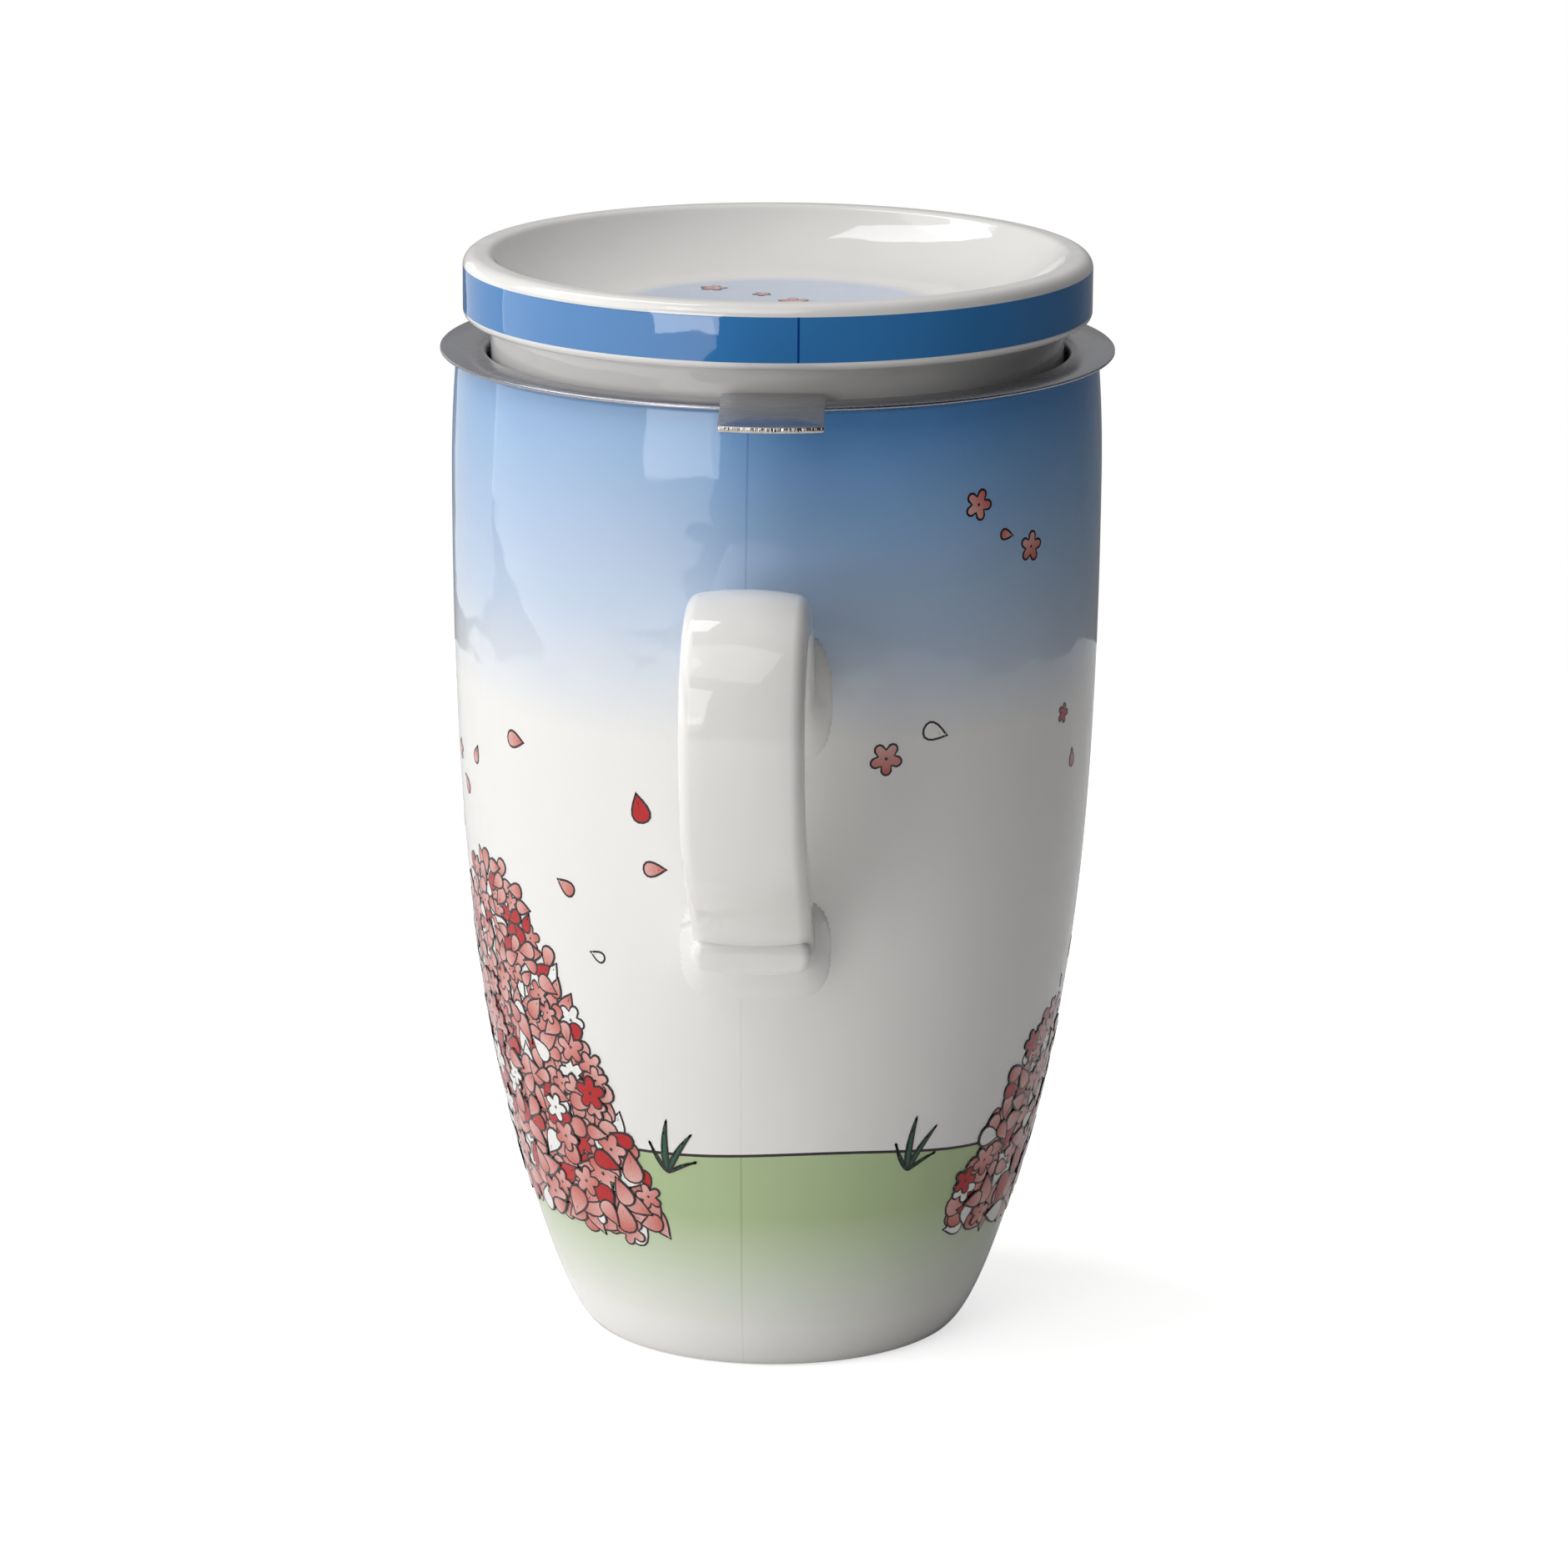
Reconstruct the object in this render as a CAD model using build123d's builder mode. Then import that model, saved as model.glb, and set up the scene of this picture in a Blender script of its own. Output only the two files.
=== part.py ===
from build123d import *
from math import cos, radians, sin, tan
import os

# Lidded tea mug with an infuser: a glazed china mug, a china dish lid and a stainless steel basket.
# Millimetres. +Z is up along the mug's axis. The origin is the centre of the foot on the table.
# The handle points along -Y. "Radius" is always measured from the mug's axis.

# ---- Mug -------------------------------------------------------------------------------------
mug_height = 136.7
foot_radius = 26.25
foot_spread = 6.27  # how far the flank leans out as it leaves the foot
foot_lift = 6.62  # and how far it climbs over that distance
belly_radius = 44.27
belly_height = 120.0
belly_ease = 74.9  # length over which the flank straightens below the belly
waist_draw = 5.6  # pull point of the flank between foot and belly, measured in from the belly
waist_height = 40.9
mouth_draw = 0.67  # the mouth edge, measured in from the belly
china = 3.0  # wall of the mug, measured level
mouth_crown = 0.9  # height of the rounded mouth edge
mug_floor = 4.0
foot_recess = 2.0
foot_ring_width = 3.6
foot_recess_draft = 20.0  # lean of the recess wall
foot_bevel = 0.4
inner_floor_round = 7.0

# ---- Handle: a flat strap that climbs from the upper root, bows out and runs back in ------------
handle_width = 16.0
handle_thickness = 6.5
handle_crown = 0.8  # how far the strap's outer face bulges across its width
handle_edge_round = 2.2  # outer long edges
handle_edge_bevel = 1.2  # inner long edges
handle_start_height = 89.3
handle_rise_angle = 55.0  # above level
handle_rise_length = 22.1
handle_shoulder_radius = 12.0
handle_bow_radius = 26.5
handle_return_angle = 50.0  # between the straight return run and the vertical
handle_root_depth = 8.0  # how far the strap's run is carried in before the mug trims it
upper_root_width = 20.6  # the roots spread where slip holds them to the mug
upper_root_height = 15.6
upper_root_rise = 8.7  # middle of the upper root above the start of the strap
lower_root_width = 19.0
lower_root_height = 9.0
lower_root_drop = 24.3  # middle of the lower root below the start of the strap
root_round = 4.0
root_spread_length = 3.0  # distance from the flank at which a root has narrowed to the strap
lug_reach = 5.73  # front of the stub that the return run lands on, measured out from the belly
lug_height = 4.6
lug_drop = 25.1  # middle of the stub below the start of the strap

# ---- Infuser: pressed flange with a stepped collar, perforated sleeve and base ------------------
sheet = 0.5  # flange, collar and ledge
mesh_sheet = 0.4  # perforated sleeve and base
flange_overhang = 2.16  # flange edge beyond the mouth edge
collar_play = 0.6  # collar in the mug's mouth
ledge_drop = 6.2  # flange top down to the ledge that carries the lid
ledge_width = 6.75
skirt_length = 6.0
bend = 1.0  # bend radius, measured in the middle of the sheet
basket_depth = 76.0  # ledge top down to the underside of the base
weld_lap = 4.5  # overlap of sleeve and skirt
base_lip = 4.0
slot_width = 1.2  # laser-cut slots
wall_slot_length = 15.0
wall_columns = 26
wall_rows = 3
base_slot_rings = ((9.0, 9.0, 12), (21.5, 12.0, 24))  # middle radius, slot length, count

# ---- Grab tab, welded on the flange -------------------------------------------------------------
tab_width = 13.55
tab_thickness = 0.8
tab_overlap = 5.9  # length lying on the flange
tab_reach = 17.2  # length beyond the flange
tab_bulge = 0.9  # convex front edge
tab_corner = 0.5
tab_turn = 2.75  # tab bearing from the handle's bearing, in degrees, towards +X

# ---- Lid: a shallow dish on a neck that drops into the collar ------------------------------------
lid_height = 19.0
lid_band_height = 8.7
lid_inset = 0.96  # the lid's band, measured in from the mug's mouth edge
dish_rim_width = 3.64
dish_slope_width = 16.0  # from the dish's rim in to its flat floor
dish_depth = 7.7
dish_thickness = 3.2
under_rise = 3.0  # how far the hollow underside rises from its middle to the neck
lid_play = 0.6  # neck in the collar
neck_wall = 3.0
rim_round = 1.65
shoulder_bevel = 0.9
neck_bevel = 0.6

# ---- Levels and radii that follow ----------------------------------------------------------------
waist_radius = belly_radius - waist_draw
mouth_edge_radius = belly_radius - mouth_draw
mouth_radius = mouth_edge_radius - china
mouth_edge_level = mug_height - mouth_crown
floor_level = foot_recess + mug_floor
flange_level = mug_height + sheet
flange_radius = mouth_edge_radius + flange_overhang
collar_radius = mouth_radius - collar_play
collar_bore = collar_radius - sheet
ledge_level = flange_level - ledge_drop
skirt_radius = collar_radius - sheet / 2 - ledge_width
sleeve_radius = skirt_radius - sheet / 2
base_level = ledge_level - basket_depth
sleeve_foot = base_level + mesh_sheet
skirt_foot = ledge_level - sheet / 2 - skirt_length
sleeve_top = skirt_foot + weld_lap
neck_radius = collar_bore - lid_play
neck_bore = neck_radius - neck_wall
lid_radius = mouth_edge_radius - lid_inset
dish_mouth_radius = lid_radius - dish_rim_width
dish_floor_radius = dish_mouth_radius - dish_slope_width
lid_top_level = ledge_level + lid_height
band_foot_level = lid_top_level - lid_band_height
dish_level = lid_top_level - dish_depth
under_level = dish_level - dish_thickness
handle_seat = belly_radius - handle_root_depth
upper_root_level = handle_start_height + upper_root_rise
lower_root_level = handle_start_height - lower_root_drop
lug_level = handle_start_height - lug_drop
lug_radius = belly_radius + lug_reach
strap_edge = handle_width / 2
strap_face = handle_thickness / 2


def mug_outline(inset):
    """Half outline of the mug's outer form, moved inwards by inset and closed along the axis."""
    flank = Bezier(
        (foot_radius - inset, foot_bevel),
        (foot_radius + foot_spread - inset, foot_bevel + foot_lift),
        (waist_radius - inset, waist_height),
        (belly_radius - inset, belly_height - belly_ease),
        (belly_radius - inset, belly_height),
    )
    shoulder = TangentArc(flank @ 1, (mouth_edge_radius - inset, mouth_edge_level), tangent=flank % 1)
    foot_edge = (foot_radius - foot_bevel - inset, 0)
    Polyline(shoulder @ 1, (0, mouth_edge_level), (0, 0), foot_edge, flank @ 0)


def mug_flank_radius(level):
    """Radius of the mug's outer form at one height, read off the form itself."""
    probe = Line((0, 0, level), (2 * belly_radius, 0, level))
    return (mug_form.part & probe).edge().length


# The full outer form trims the handle, so that the roots follow the mug's flank.
with BuildPart() as mug_form:
    with BuildSketch(Plane.XZ):
        with BuildLine():
            mug_outline(0)
        make_face()
    revolve(axis=Axis.Z)

with BuildPart() as mug_body:
    add(mug_form.part)
    with BuildSketch(Plane.XZ):
        with BuildLine():
            mug_outline(china)
        make_face()
        with Locations((0, floor_level)):
            Rectangle(2 * belly_radius, mug_height, align=(Align.CENTER, Align.MIN), mode=Mode.INTERSECT)
    revolve(axis=Axis.Z, mode=Mode.SUBTRACT)
    fillet(mug_body.edges(Select.LAST).group_by(Axis.Z)[0], inner_floor_round)
    with BuildSketch(Plane.XZ):
        with BuildLine():
            crown_edges = ((mouth_radius, mouth_edge_level), (mouth_edge_radius, mouth_edge_level))
            ThreePointArc(crown_edges[0], (mouth_edge_radius - china / 2, mug_height), crown_edges[1])
            Line(*crown_edges)
        make_face()
    revolve(axis=Axis.Z)
    with BuildSketch(Plane.XY):
        Circle(foot_radius - foot_ring_width)
    extrude(amount=foot_recess, taper=foot_recess_draft, mode=Mode.SUBTRACT)
mug_body.part.label = "mug_body"

with BuildPart() as mug_handle:
    with BuildLine(Plane.YZ) as spine:
        rise = PolarLine((-handle_seat, handle_start_height), handle_rise_length, 180 - handle_rise_angle)
        shoulder = JernArc(rise @ 1, rise % 1, handle_shoulder_radius, 90 + handle_rise_angle)
        bow = JernArc(shoulder @ 1, shoulder % 1, handle_bow_radius, handle_return_angle)
        run_in = -handle_seat - (bow @ 1).Y
        PolarLine(bow @ 1, run_in, handle_return_angle - 90, length_mode=LengthMode.HORIZONTAL)
    with BuildSketch(Plane(origin=spine.line @ 0, x_dir=(1, 0, 0), z_dir=spine.line % 0)):
        with BuildLine():
            outer = ThreePointArc(
                (-strap_edge, strap_face - handle_crown),
                (0, strap_face),
                (strap_edge, strap_face - handle_crown),
            )
            Polyline(outer @ 1, (strap_edge, -strap_face), (-strap_edge, -strap_face), outer @ 0)
        make_face()
        fillet(vertices().group_by(Axis.Y)[-1], handle_edge_round)
        chamfer(vertices().group_by(Axis.Y)[0], handle_edge_bevel)
    sweep(path=spine.line)
    # The stub under the return run, with the crease where the two meet.
    with BuildSketch(Plane.XZ.offset(handle_seat)):
        with Locations((0, lug_level)):
            Rectangle(handle_width, lug_height)
    extrude(amount=lug_radius - handle_seat)
    # Spread roots: each narrows outwards, on the slant of its run, from the mug's wall to the strap.
    roots = (
        (upper_root_width, upper_root_height, upper_root_level, handle_rise_angle),
        (lower_root_width, lower_root_height, lower_root_level, 90 - handle_return_angle),
    )
    for width, height, level, slant in roots:
        flank_radius = mug_flank_radius(level)
        with BuildSketch(Plane.XZ.offset(flank_radius - china)):
            with Locations((0, level - china * tan(radians(slant)))):
                RectangleRounded(width, height, root_round)
        with BuildSketch(Plane.XZ.offset(flank_radius + root_spread_length)):
            with Locations((0, level + root_spread_length * tan(radians(slant)))):
                RectangleRounded(handle_width, handle_thickness / cos(radians(slant)), handle_edge_round)
        loft()
    add(mug_form.part, mode=Mode.SUBTRACT)
mug_handle.part.label = "mug_handle"

# ---- Infuser -------------------------------------------------------------------------------------
# One pressed sheet: flat flange, collar down into the mouth, ledge for the lid, short skirt.
with BuildPart() as infuser_rim:
    with BuildSketch(Plane.XZ):
        with BuildLine():
            Polyline(
                (flange_radius, flange_level - sheet / 2),
                (collar_radius - sheet / 2 + bend, flange_level - sheet / 2),
                (collar_radius - sheet / 2, flange_level - sheet / 2 - bend),
                (collar_radius - sheet / 2, ledge_level - sheet / 2),
                (skirt_radius, ledge_level - sheet / 2),
                (skirt_radius, skirt_foot),
            )
        trace(line_width=sheet)
    revolve(axis=Axis.Z)
infuser_rim.part.label = "infuser_rim"

# Rolled sleeve with staggered rows of slots, spot-welded inside the skirt.
row_pitch = (skirt_foot - sleeve_foot - base_lip) / wall_rows
slot_planes = []
for row in range(wall_rows):
    slot_level = sleeve_foot + base_lip + row_pitch * (row + 0.5)
    for column in range(wall_columns):
        bearing = radians(360 / wall_columns * (column + row % 2 / 2))
        outwards = Vector(cos(bearing), sin(bearing), 0)
        inside = outwards * (sleeve_radius - 2 * mesh_sheet) + Vector(0, 0, slot_level)
        slot_planes.append(Plane(origin=inside, x_dir=(0, 0, 1), z_dir=outwards))

with BuildPart() as infuser_wall:
    with BuildSketch(Plane.XY.offset(sleeve_foot)):
        Circle(sleeve_radius)
        Circle(sleeve_radius - mesh_sheet, mode=Mode.SUBTRACT)
    extrude(amount=sleeve_top - sleeve_foot)
    with BuildSketch(*slot_planes):
        Rectangle(wall_slot_length, slot_width)
    extrude(amount=3 * mesh_sheet, mode=Mode.SUBTRACT)
infuser_wall.part.label = "infuser_wall"

# Shallow slotted cap, its lip turned up round the foot of the sleeve.
with BuildPart() as infuser_base:
    with BuildSketch(Plane.XY.offset(base_level)):
        Circle(sleeve_radius + mesh_sheet)
        for ring_radius, slot_length, slot_count in base_slot_rings:
            with PolarLocations(ring_radius, slot_count):
                Rectangle(slot_length, slot_width, mode=Mode.SUBTRACT)
    extrude(amount=mesh_sheet)
    with BuildSketch(Plane.XY.offset(sleeve_foot)):
        Circle(sleeve_radius + mesh_sheet)
        Circle(sleeve_radius, mode=Mode.SUBTRACT)
    extrude(amount=base_lip)
infuser_base.part.label = "infuser_base"

# Grab tab: a thicker plate welded flat on the flange, with a slightly convex front edge.
tab_bearing = radians(tab_turn)
tab_forward = (sin(tab_bearing), -cos(tab_bearing), 0)
tab_plane = Plane(
    origin=Vector(*tab_forward) * flange_radius + Vector(0, 0, flange_level),
    x_dir=tab_forward,
    z_dir=(0, 0, 1),
)
with BuildPart() as infuser_tab:
    with BuildSketch(tab_plane):
        with BuildLine():
            front = ThreePointArc(
                (tab_reach - tab_bulge, -tab_width / 2),
                (tab_reach, 0),
                (tab_reach - tab_bulge, tab_width / 2),
            )
            Polyline(front @ 1, (-tab_overlap, tab_width / 2), (-tab_overlap, -tab_width / 2), front @ 0)
        make_face()
        fillet(vertices(), tab_corner)
    extrude(amount=tab_thickness)
infuser_tab.part.label = "infuser_tab"

# ---- Lid -----------------------------------------------------------------------------------------
# A dish of even thickness; its neck stands on the ledge and its band stays clear of the flange.
with BuildPart() as lid:
    with BuildSketch(Plane.XZ):
        with BuildLine():
            dish = TangentArc(
                (dish_floor_radius, dish_level), (dish_mouth_radius, lid_top_level), tangent=(1, 0)
            )
            under = TangentArc(
                (dish_floor_radius, under_level), (neck_bore, under_level + under_rise), tangent=(1, 0)
            )
            Polyline(
                dish @ 1,
                (lid_radius, lid_top_level),
                (lid_radius, band_foot_level),
                (neck_radius, band_foot_level),
                (neck_radius, ledge_level),
                (neck_bore, ledge_level),
                under @ 1,
            )
            Polyline(under @ 0, (0, under_level), (0, dish_level), dish @ 0)
        make_face()
    revolve(axis=Axis.Z)
    fillet(lid.edges().filter_by(GeomType.CIRCLE).group_by(Axis.Z)[-1], rim_round)
    chamfer(lid.edges().filter_by(GeomType.CIRCLE).group_by(Axis.Z)[0], neck_bevel)
    shoulder_edges = lid.edges().filter_by_position(Axis.Z, band_foot_level, band_foot_level)
    chamfer(shoulder_edges.sort_by(SortBy.LENGTH)[-1], shoulder_bevel)
lid.part.label = "lid"

os.makedirs("parts", exist_ok=True)
for piece in (mug_body, mug_handle, infuser_rim, infuser_tab, infuser_wall, infuser_base, lid):
    print(piece.part.label, piece.part.is_valid, round(piece.part.volume), len(piece.part.solids()))
    export_step(piece.part, f"parts/{piece.part.label}.step")
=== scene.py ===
"""Surfaces, glazes and studio of a lidded china tea mug with a steel infuser.

The file is laid out as an add-on: sizes and colours are properties, each piece has an operator, and main()
runs the operators in order. Lengths are kept in metres. +Z is up along the mug's axis and the handle points
along -Y. A bearing is an angle round the axis, from the handle towards +X.
"""

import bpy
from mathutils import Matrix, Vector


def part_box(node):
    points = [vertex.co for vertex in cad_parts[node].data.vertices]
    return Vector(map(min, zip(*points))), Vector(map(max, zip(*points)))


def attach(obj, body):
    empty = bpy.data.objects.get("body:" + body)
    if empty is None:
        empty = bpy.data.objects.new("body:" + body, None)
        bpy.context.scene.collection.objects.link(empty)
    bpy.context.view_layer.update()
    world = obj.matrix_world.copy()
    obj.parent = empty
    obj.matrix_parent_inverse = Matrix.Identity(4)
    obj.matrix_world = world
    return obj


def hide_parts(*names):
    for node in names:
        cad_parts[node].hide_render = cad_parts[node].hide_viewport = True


bl_info = {
    "name": "Lidded tea mug",
    "version": (1, 0, 0),
    "blender": (4, 5, 0),
    "location": "View3D > Sidebar > Tea mug",
    "description": "Glazed china tea mug with its dish lid and steel infuser",
    "category": "Add Mesh",
}

from functools import cache
from math import atan2, cos, pi, radians, sin, tan

import bmesh
import bpy
import numpy as np
from bpy.props import FloatProperty, FloatVectorProperty, IntProperty, PointerProperty
from bpy.types import Operator, Panel, PropertyGroup
from mathutils import Euler, Vector

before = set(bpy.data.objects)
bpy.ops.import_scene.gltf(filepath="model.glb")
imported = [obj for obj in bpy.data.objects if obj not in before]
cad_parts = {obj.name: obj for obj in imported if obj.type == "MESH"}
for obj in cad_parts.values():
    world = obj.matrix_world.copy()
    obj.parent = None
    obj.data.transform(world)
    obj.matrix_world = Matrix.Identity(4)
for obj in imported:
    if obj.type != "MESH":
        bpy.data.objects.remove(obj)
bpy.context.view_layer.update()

MM = 0.001
SECTORS = 256  # steps round the mug's axis


# ---- Properties ----------------------------------------------------------------------------------
def linear(hex_code):
    """Linear RGBA of an sRGB hex colour."""
    parts = np.array([int(hex_code[i : i + 2], 16) for i in (1, 3, 5)]) / 255
    light = np.where(parts <= 0.04045, parts / 12.92, ((parts + 0.055) / 1.055) ** 2.4)
    return (*light.tolist(), 1.0)


def length(name, millimetres, description):
    """A length property, given in millimetres and kept in metres."""
    return FloatProperty(
        name=name, description=description, default=millimetres * MM, unit="LENGTH", precision=5
    )


def angle(name, degrees, description):
    """An angle property, given in degrees and kept in radians."""
    return FloatProperty(name=name, description=description, default=radians(degrees), subtype="ANGLE")


def colour(name, hex_code, description):
    """A colour property, given as an sRGB hex code."""
    return FloatVectorProperty(
        name=name, description=description, default=linear(hex_code), size=4, subtype="COLOR"
    )


class MugSizes(PropertyGroup):
    foot_radius: length("Foot radius", 26.25, "Outer edge of the foot ring")
    foot_spread: length("Foot spread", 6.27, "How far the flank leans out as it leaves the foot")
    foot_lift: length("Foot lift", 6.62, "How far the flank climbs over the foot spread")
    foot_bevel: length("Foot bevel", 0.4, "Height at which the flank starts")
    foot_round: length("Foot round", 0.8, "Rounding of the foot ring's outer edge")
    foot_ring_width: length("Foot ring width", 3.6, "Width of the ring that the mug stands on")
    foot_recess: length("Foot recess", 2.0, "Depth of the hollow inside the foot ring")
    recess_draft: angle("Recess draft", 20, "Lean of the recess wall")
    recess_round: length("Recess round", 0.6, "Roundings of the recess wall")
    waist_draw: length("Waist draw", 5.6, "Pull point of the lower flank, in from the belly")
    waist_height: length("Waist height", 40.9, "Height of that pull point")
    belly_height: length("Belly height", 120, "Height of the widest ring")
    belly_ease: length("Belly ease", 74.9, "Length over which the flank straightens below the belly")
    mouth_draw: length("Mouth draw", 0.67, "Mouth edge, in from the belly")
    mouth_crown: length("Mouth crown", 0.9, "Height of the rounded mouth edge")
    wall: length("Wall", 3.0, "Wall thickness, measured level")
    floor: length("Floor", 4.0, "Thickness of the mug's floor")
    floor_round: length("Floor round", 7.0, "Rounding between the inner wall and the floor")


class HandleSizes(PropertyGroup):
    width: length("Width", 16.0, "Width of the strap")
    thickness: length("Thickness", 6.48, "Thickness of the strap")
    crown: length("Crown", 0.8, "Bulge of the strap's outer face across its width")
    edge_round: length("Edge round", 2.1, "Rounding of the outer long edges")
    inner_round: length("Inner round", 1.6, "Rounding of the inner long edges")
    start_height: length("Start height", 89.3, "Height of the strap's run at its seat in the wall")
    rise_angle: angle("Rise angle", 55, "Slope of the first run above level")
    rise_length: length("Rise length", 22.1, "Length of the first run")
    shoulder_radius: length("Shoulder radius", 12.0, "Bend at the top")
    bow_radius: length("Bow radius", 26.5, "Bend of the outer side")
    return_angle: angle("Return angle", 50, "Angle between the last run and the vertical")
    root_depth: length("Root depth", 8.0, "Seat of the strap, in from the belly")
    root_spread: length("Root spread", 2.1, "How far the glazed roots spread over the flank")
    root_bite: length("Root bite", 1.2, "How deep the roots sit in the wall")
    stub_reach: length("Stub reach", 5.73, "Front of the stub, out from the belly")
    stub_height: length("Stub height", 4.6, "Height of the stub under the last run")
    stub_round: length("Stub round", 1.4, "Rounding of the stub's front edges")
    stub_drop: length("Stub drop", 25.0, "Middle of the stub below the strap's start")
    stub_spread: length("Stub spread", 2.0, "How far the stub's roots spread over the flank")


class InfuserSizes(PropertyGroup):
    sheet: length("Sheet", 0.5, "Flange, collar and skirt")
    edge_round: length("Edge round", 0.12, "Rolled-over corners of the sheared sheet")
    mesh_sheet: length("Mesh sheet", 0.4, "Sleeve and base")
    collar_inset: length("Collar inset", 5.76, "Outer face of the collar, in from the flange edge")
    ledge_drop: length("Ledge drop", 6.2, "From the flange top down to the lid's ledge")
    ledge_width: length("Ledge width", 6.75, "From the middle of the collar to the middle of the skirt")
    bend: length("Bend", 1.0, "Bend radius in the middle of the sheet")
    base_bend: length("Base bend", 1.0, "Bend between base and lip")
    hole: length("Hole", 1.1, "Diameter of the punched holes")
    pitch: length("Pitch", 2.15, "Distance between holes")
    plain_foot: length("Plain foot", 6.0, "Unpunched sleeve at its foot")
    plain_head: length("Plain head", 6.6, "Unpunched sleeve at its head")
    tab_width: length("Tab width", 13.55, "Width of the grab tab")
    tab_reach: length("Tab reach", 17.2, "Length of the tab beyond the flange")
    tab_overlap: length("Tab overlap", 5.9, "Length of the tab on the flange")
    tab_bulge: length("Tab bulge", 0.9, "Bulge of the front edge")
    tab_corner: length("Tab corner", 0.5, "Rounding of the tab's corners")
    tab_droop: length("Tab droop", 0.16, "Rounding that the shear leaves along the tab's upper edge")
    tab_burr: length("Tab burr", 0.05, "Bevel of the tab's lower edge")
    tab_turn: angle("Tab turn", 2.75, "Bearing of the tab")


class LidSizes(PropertyGroup):
    band_height: length("Band height", 8.7, "Height of the outer band")
    rim_width: length("Rim width", 3.64, "Width of the rolled rim round the dish")
    rim_round: length("Rim round", 1.8, "Outer rounding of the rim")
    slope_width: length("Slope width", 16.0, "From the rim in to the flat dish floor")
    dish_depth: length("Dish depth", 7.7, "Depth of the dish")
    dish_wall: length("Dish wall", 3.2, "Thickness of the dish")
    under_rise: length("Under rise", 3.0, "Rise of the hollow underside to the neck")
    neck_inset: length("Neck inset", 3.74, "Neck, in from the band")
    neck_wall: length("Neck wall", 3.0, "Wall of the neck")
    shoulder_round: length("Shoulder round", 1.1, "Rounding under the band")
    neck_round: length("Neck round", 0.8, "Roundings of the neck's foot")
    cove: length("Cove", 0.9, "Hollow corner between the band's underside and the neck")
    stripe_foot: length("Stripe foot", 1.15, "Foot of the blue stripe above the band's foot")
    stripe_height: length("Stripe height", 6.0, "Height of the blue stripe")
    disc_radius: length("Disc radius", 23.5, "Pale blue disc on the dish floor")


class GlazeColours(PropertyGroup):
    china: colour("China", "#EFEDEA", "White china under clear glaze")
    bisque: colour("Bisque", "#DCD6CC", "Unglazed foot ring")
    sky_deep: colour("Deep sky", "#5C93CF", "Sky at the mouth")
    sky_mid: colour("Sky", "#8FB3DC", "Sky below the mouth")
    sky_pale: colour("Pale sky", "#C3D2E6", "Sky before it fades out")
    meadow: colour("Meadow", "#B2C596", "Meadow under its line")
    meadow_pale: colour("Pale meadow", "#D5DDC9", "Meadow before it fades out")
    stripe: colour("Stripe", "#387FC0", "Stripe round the lid")
    disc: colour("Disc", "#C6D3E8", "Disc on the dish floor")
    ink: colour("Ink", "#2A2023", "Outline of the printed motifs")
    red: colour("Red", "#B80F14", "Solid red petals")
    rose: colour("Rose", "#C4574A", "Strong end of the shaded petals")
    blush: colour("Blush", "#E3B3AC", "Pale end of the shaded petals")
    leaf: colour("Leaf", "#1F5C45", "Leaves")
    steel: colour("Steel", "#B0B1B8", "Brushed stainless steel")
    sheared: colour("Sheared steel", "#C9C4BC", "Sheared edge of the tab")


class PrintSizes(PropertyGroup):
    seed: IntProperty(name="Seed", description="Draw of the scattered motifs", default=7)
    outline: length("Outline", 0.3, "Width of the dark outlines")
    lift: length("Lift", 0.05, "Height of the enamel over the glaze")
    layer: length("Layer", 0.014, "Step between overlapping motifs")
    meadow_height: length("Meadow height", 31.5, "Mean height of the meadow's line")
    meadow_line: length("Meadow line", 0.42, "Width of the meadow's line")


class StudioSettings(PropertyGroup):
    lens: FloatProperty(name="Lens", description="Focal length in mm on a 36 mm sensor", default=147.8)
    camera_distance: length("Camera distance", 861.56, "Level distance of the camera from the axis")
    camera_height: length("Camera height", 294.91, "Height of the camera above the table")
    camera_bearing: angle("Camera bearing", 3.5, "Bearing of the camera")
    camera_tilt: angle("Camera tilt", 75.716, "Tilt of the camera up from straight down")
    camera_roll: angle("Camera roll", 0.344, "Roll of the camera")
    camera_pan: angle("Camera pan", -0.082, "Turn of the camera away from the axis")


GROUPS = {
    "mug": MugSizes,
    "handle": HandleSizes,
    "infuser": InfuserSizes,
    "lid": LidSizes,
    "glaze": GlazeColours,
    "print": PrintSizes,
    "studio": StudioSettings,
}


def settings(group):
    """The stored properties of one group."""
    return getattr(bpy.context.scene, f"tea_mug_{group}")


# ---- Surfaces ------------------------------------------------------------------------------------
def rounded(corners, radii, steps=10):
    """Open outline through corners, with a tangent arc at each inner corner.

    The arc starts radius * tan(turn / 2) before the corner. Its points are the arc's centre plus the arm
    from the centre to that start, rotated by 0 to turn. A radius of 0 keeps the corner.
    """
    corners = [np.array(corner, float) for corner in corners]
    stretches = [corners[0][None]]
    for before, corner, after, radius in zip(corners, corners[1:], corners[2:], radii):
        way_in = (corner - before) / np.linalg.norm(corner - before)
        way_out = (after - corner) / np.linalg.norm(after - corner)
        turn = atan2(way_in[0] * way_out[1] - way_in[1] * way_out[0], way_in @ way_out)
        if not radius:
            stretches.append(corner[None])
            continue
        start = corner - way_in * radius * tan(abs(turn) / 2)
        arm = np.sign(turn) * radius * np.array((way_in[1], -way_in[0]))
        swing = np.linspace(0, turn, steps + 1)[:, None]
        across = np.array((-arm[1], arm[0]))
        stretches.append(start - arm + np.cos(swing) * arm + np.sin(swing) * across)
    stretches.append(corners[-1][None])
    return np.concatenate(stretches)


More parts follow.
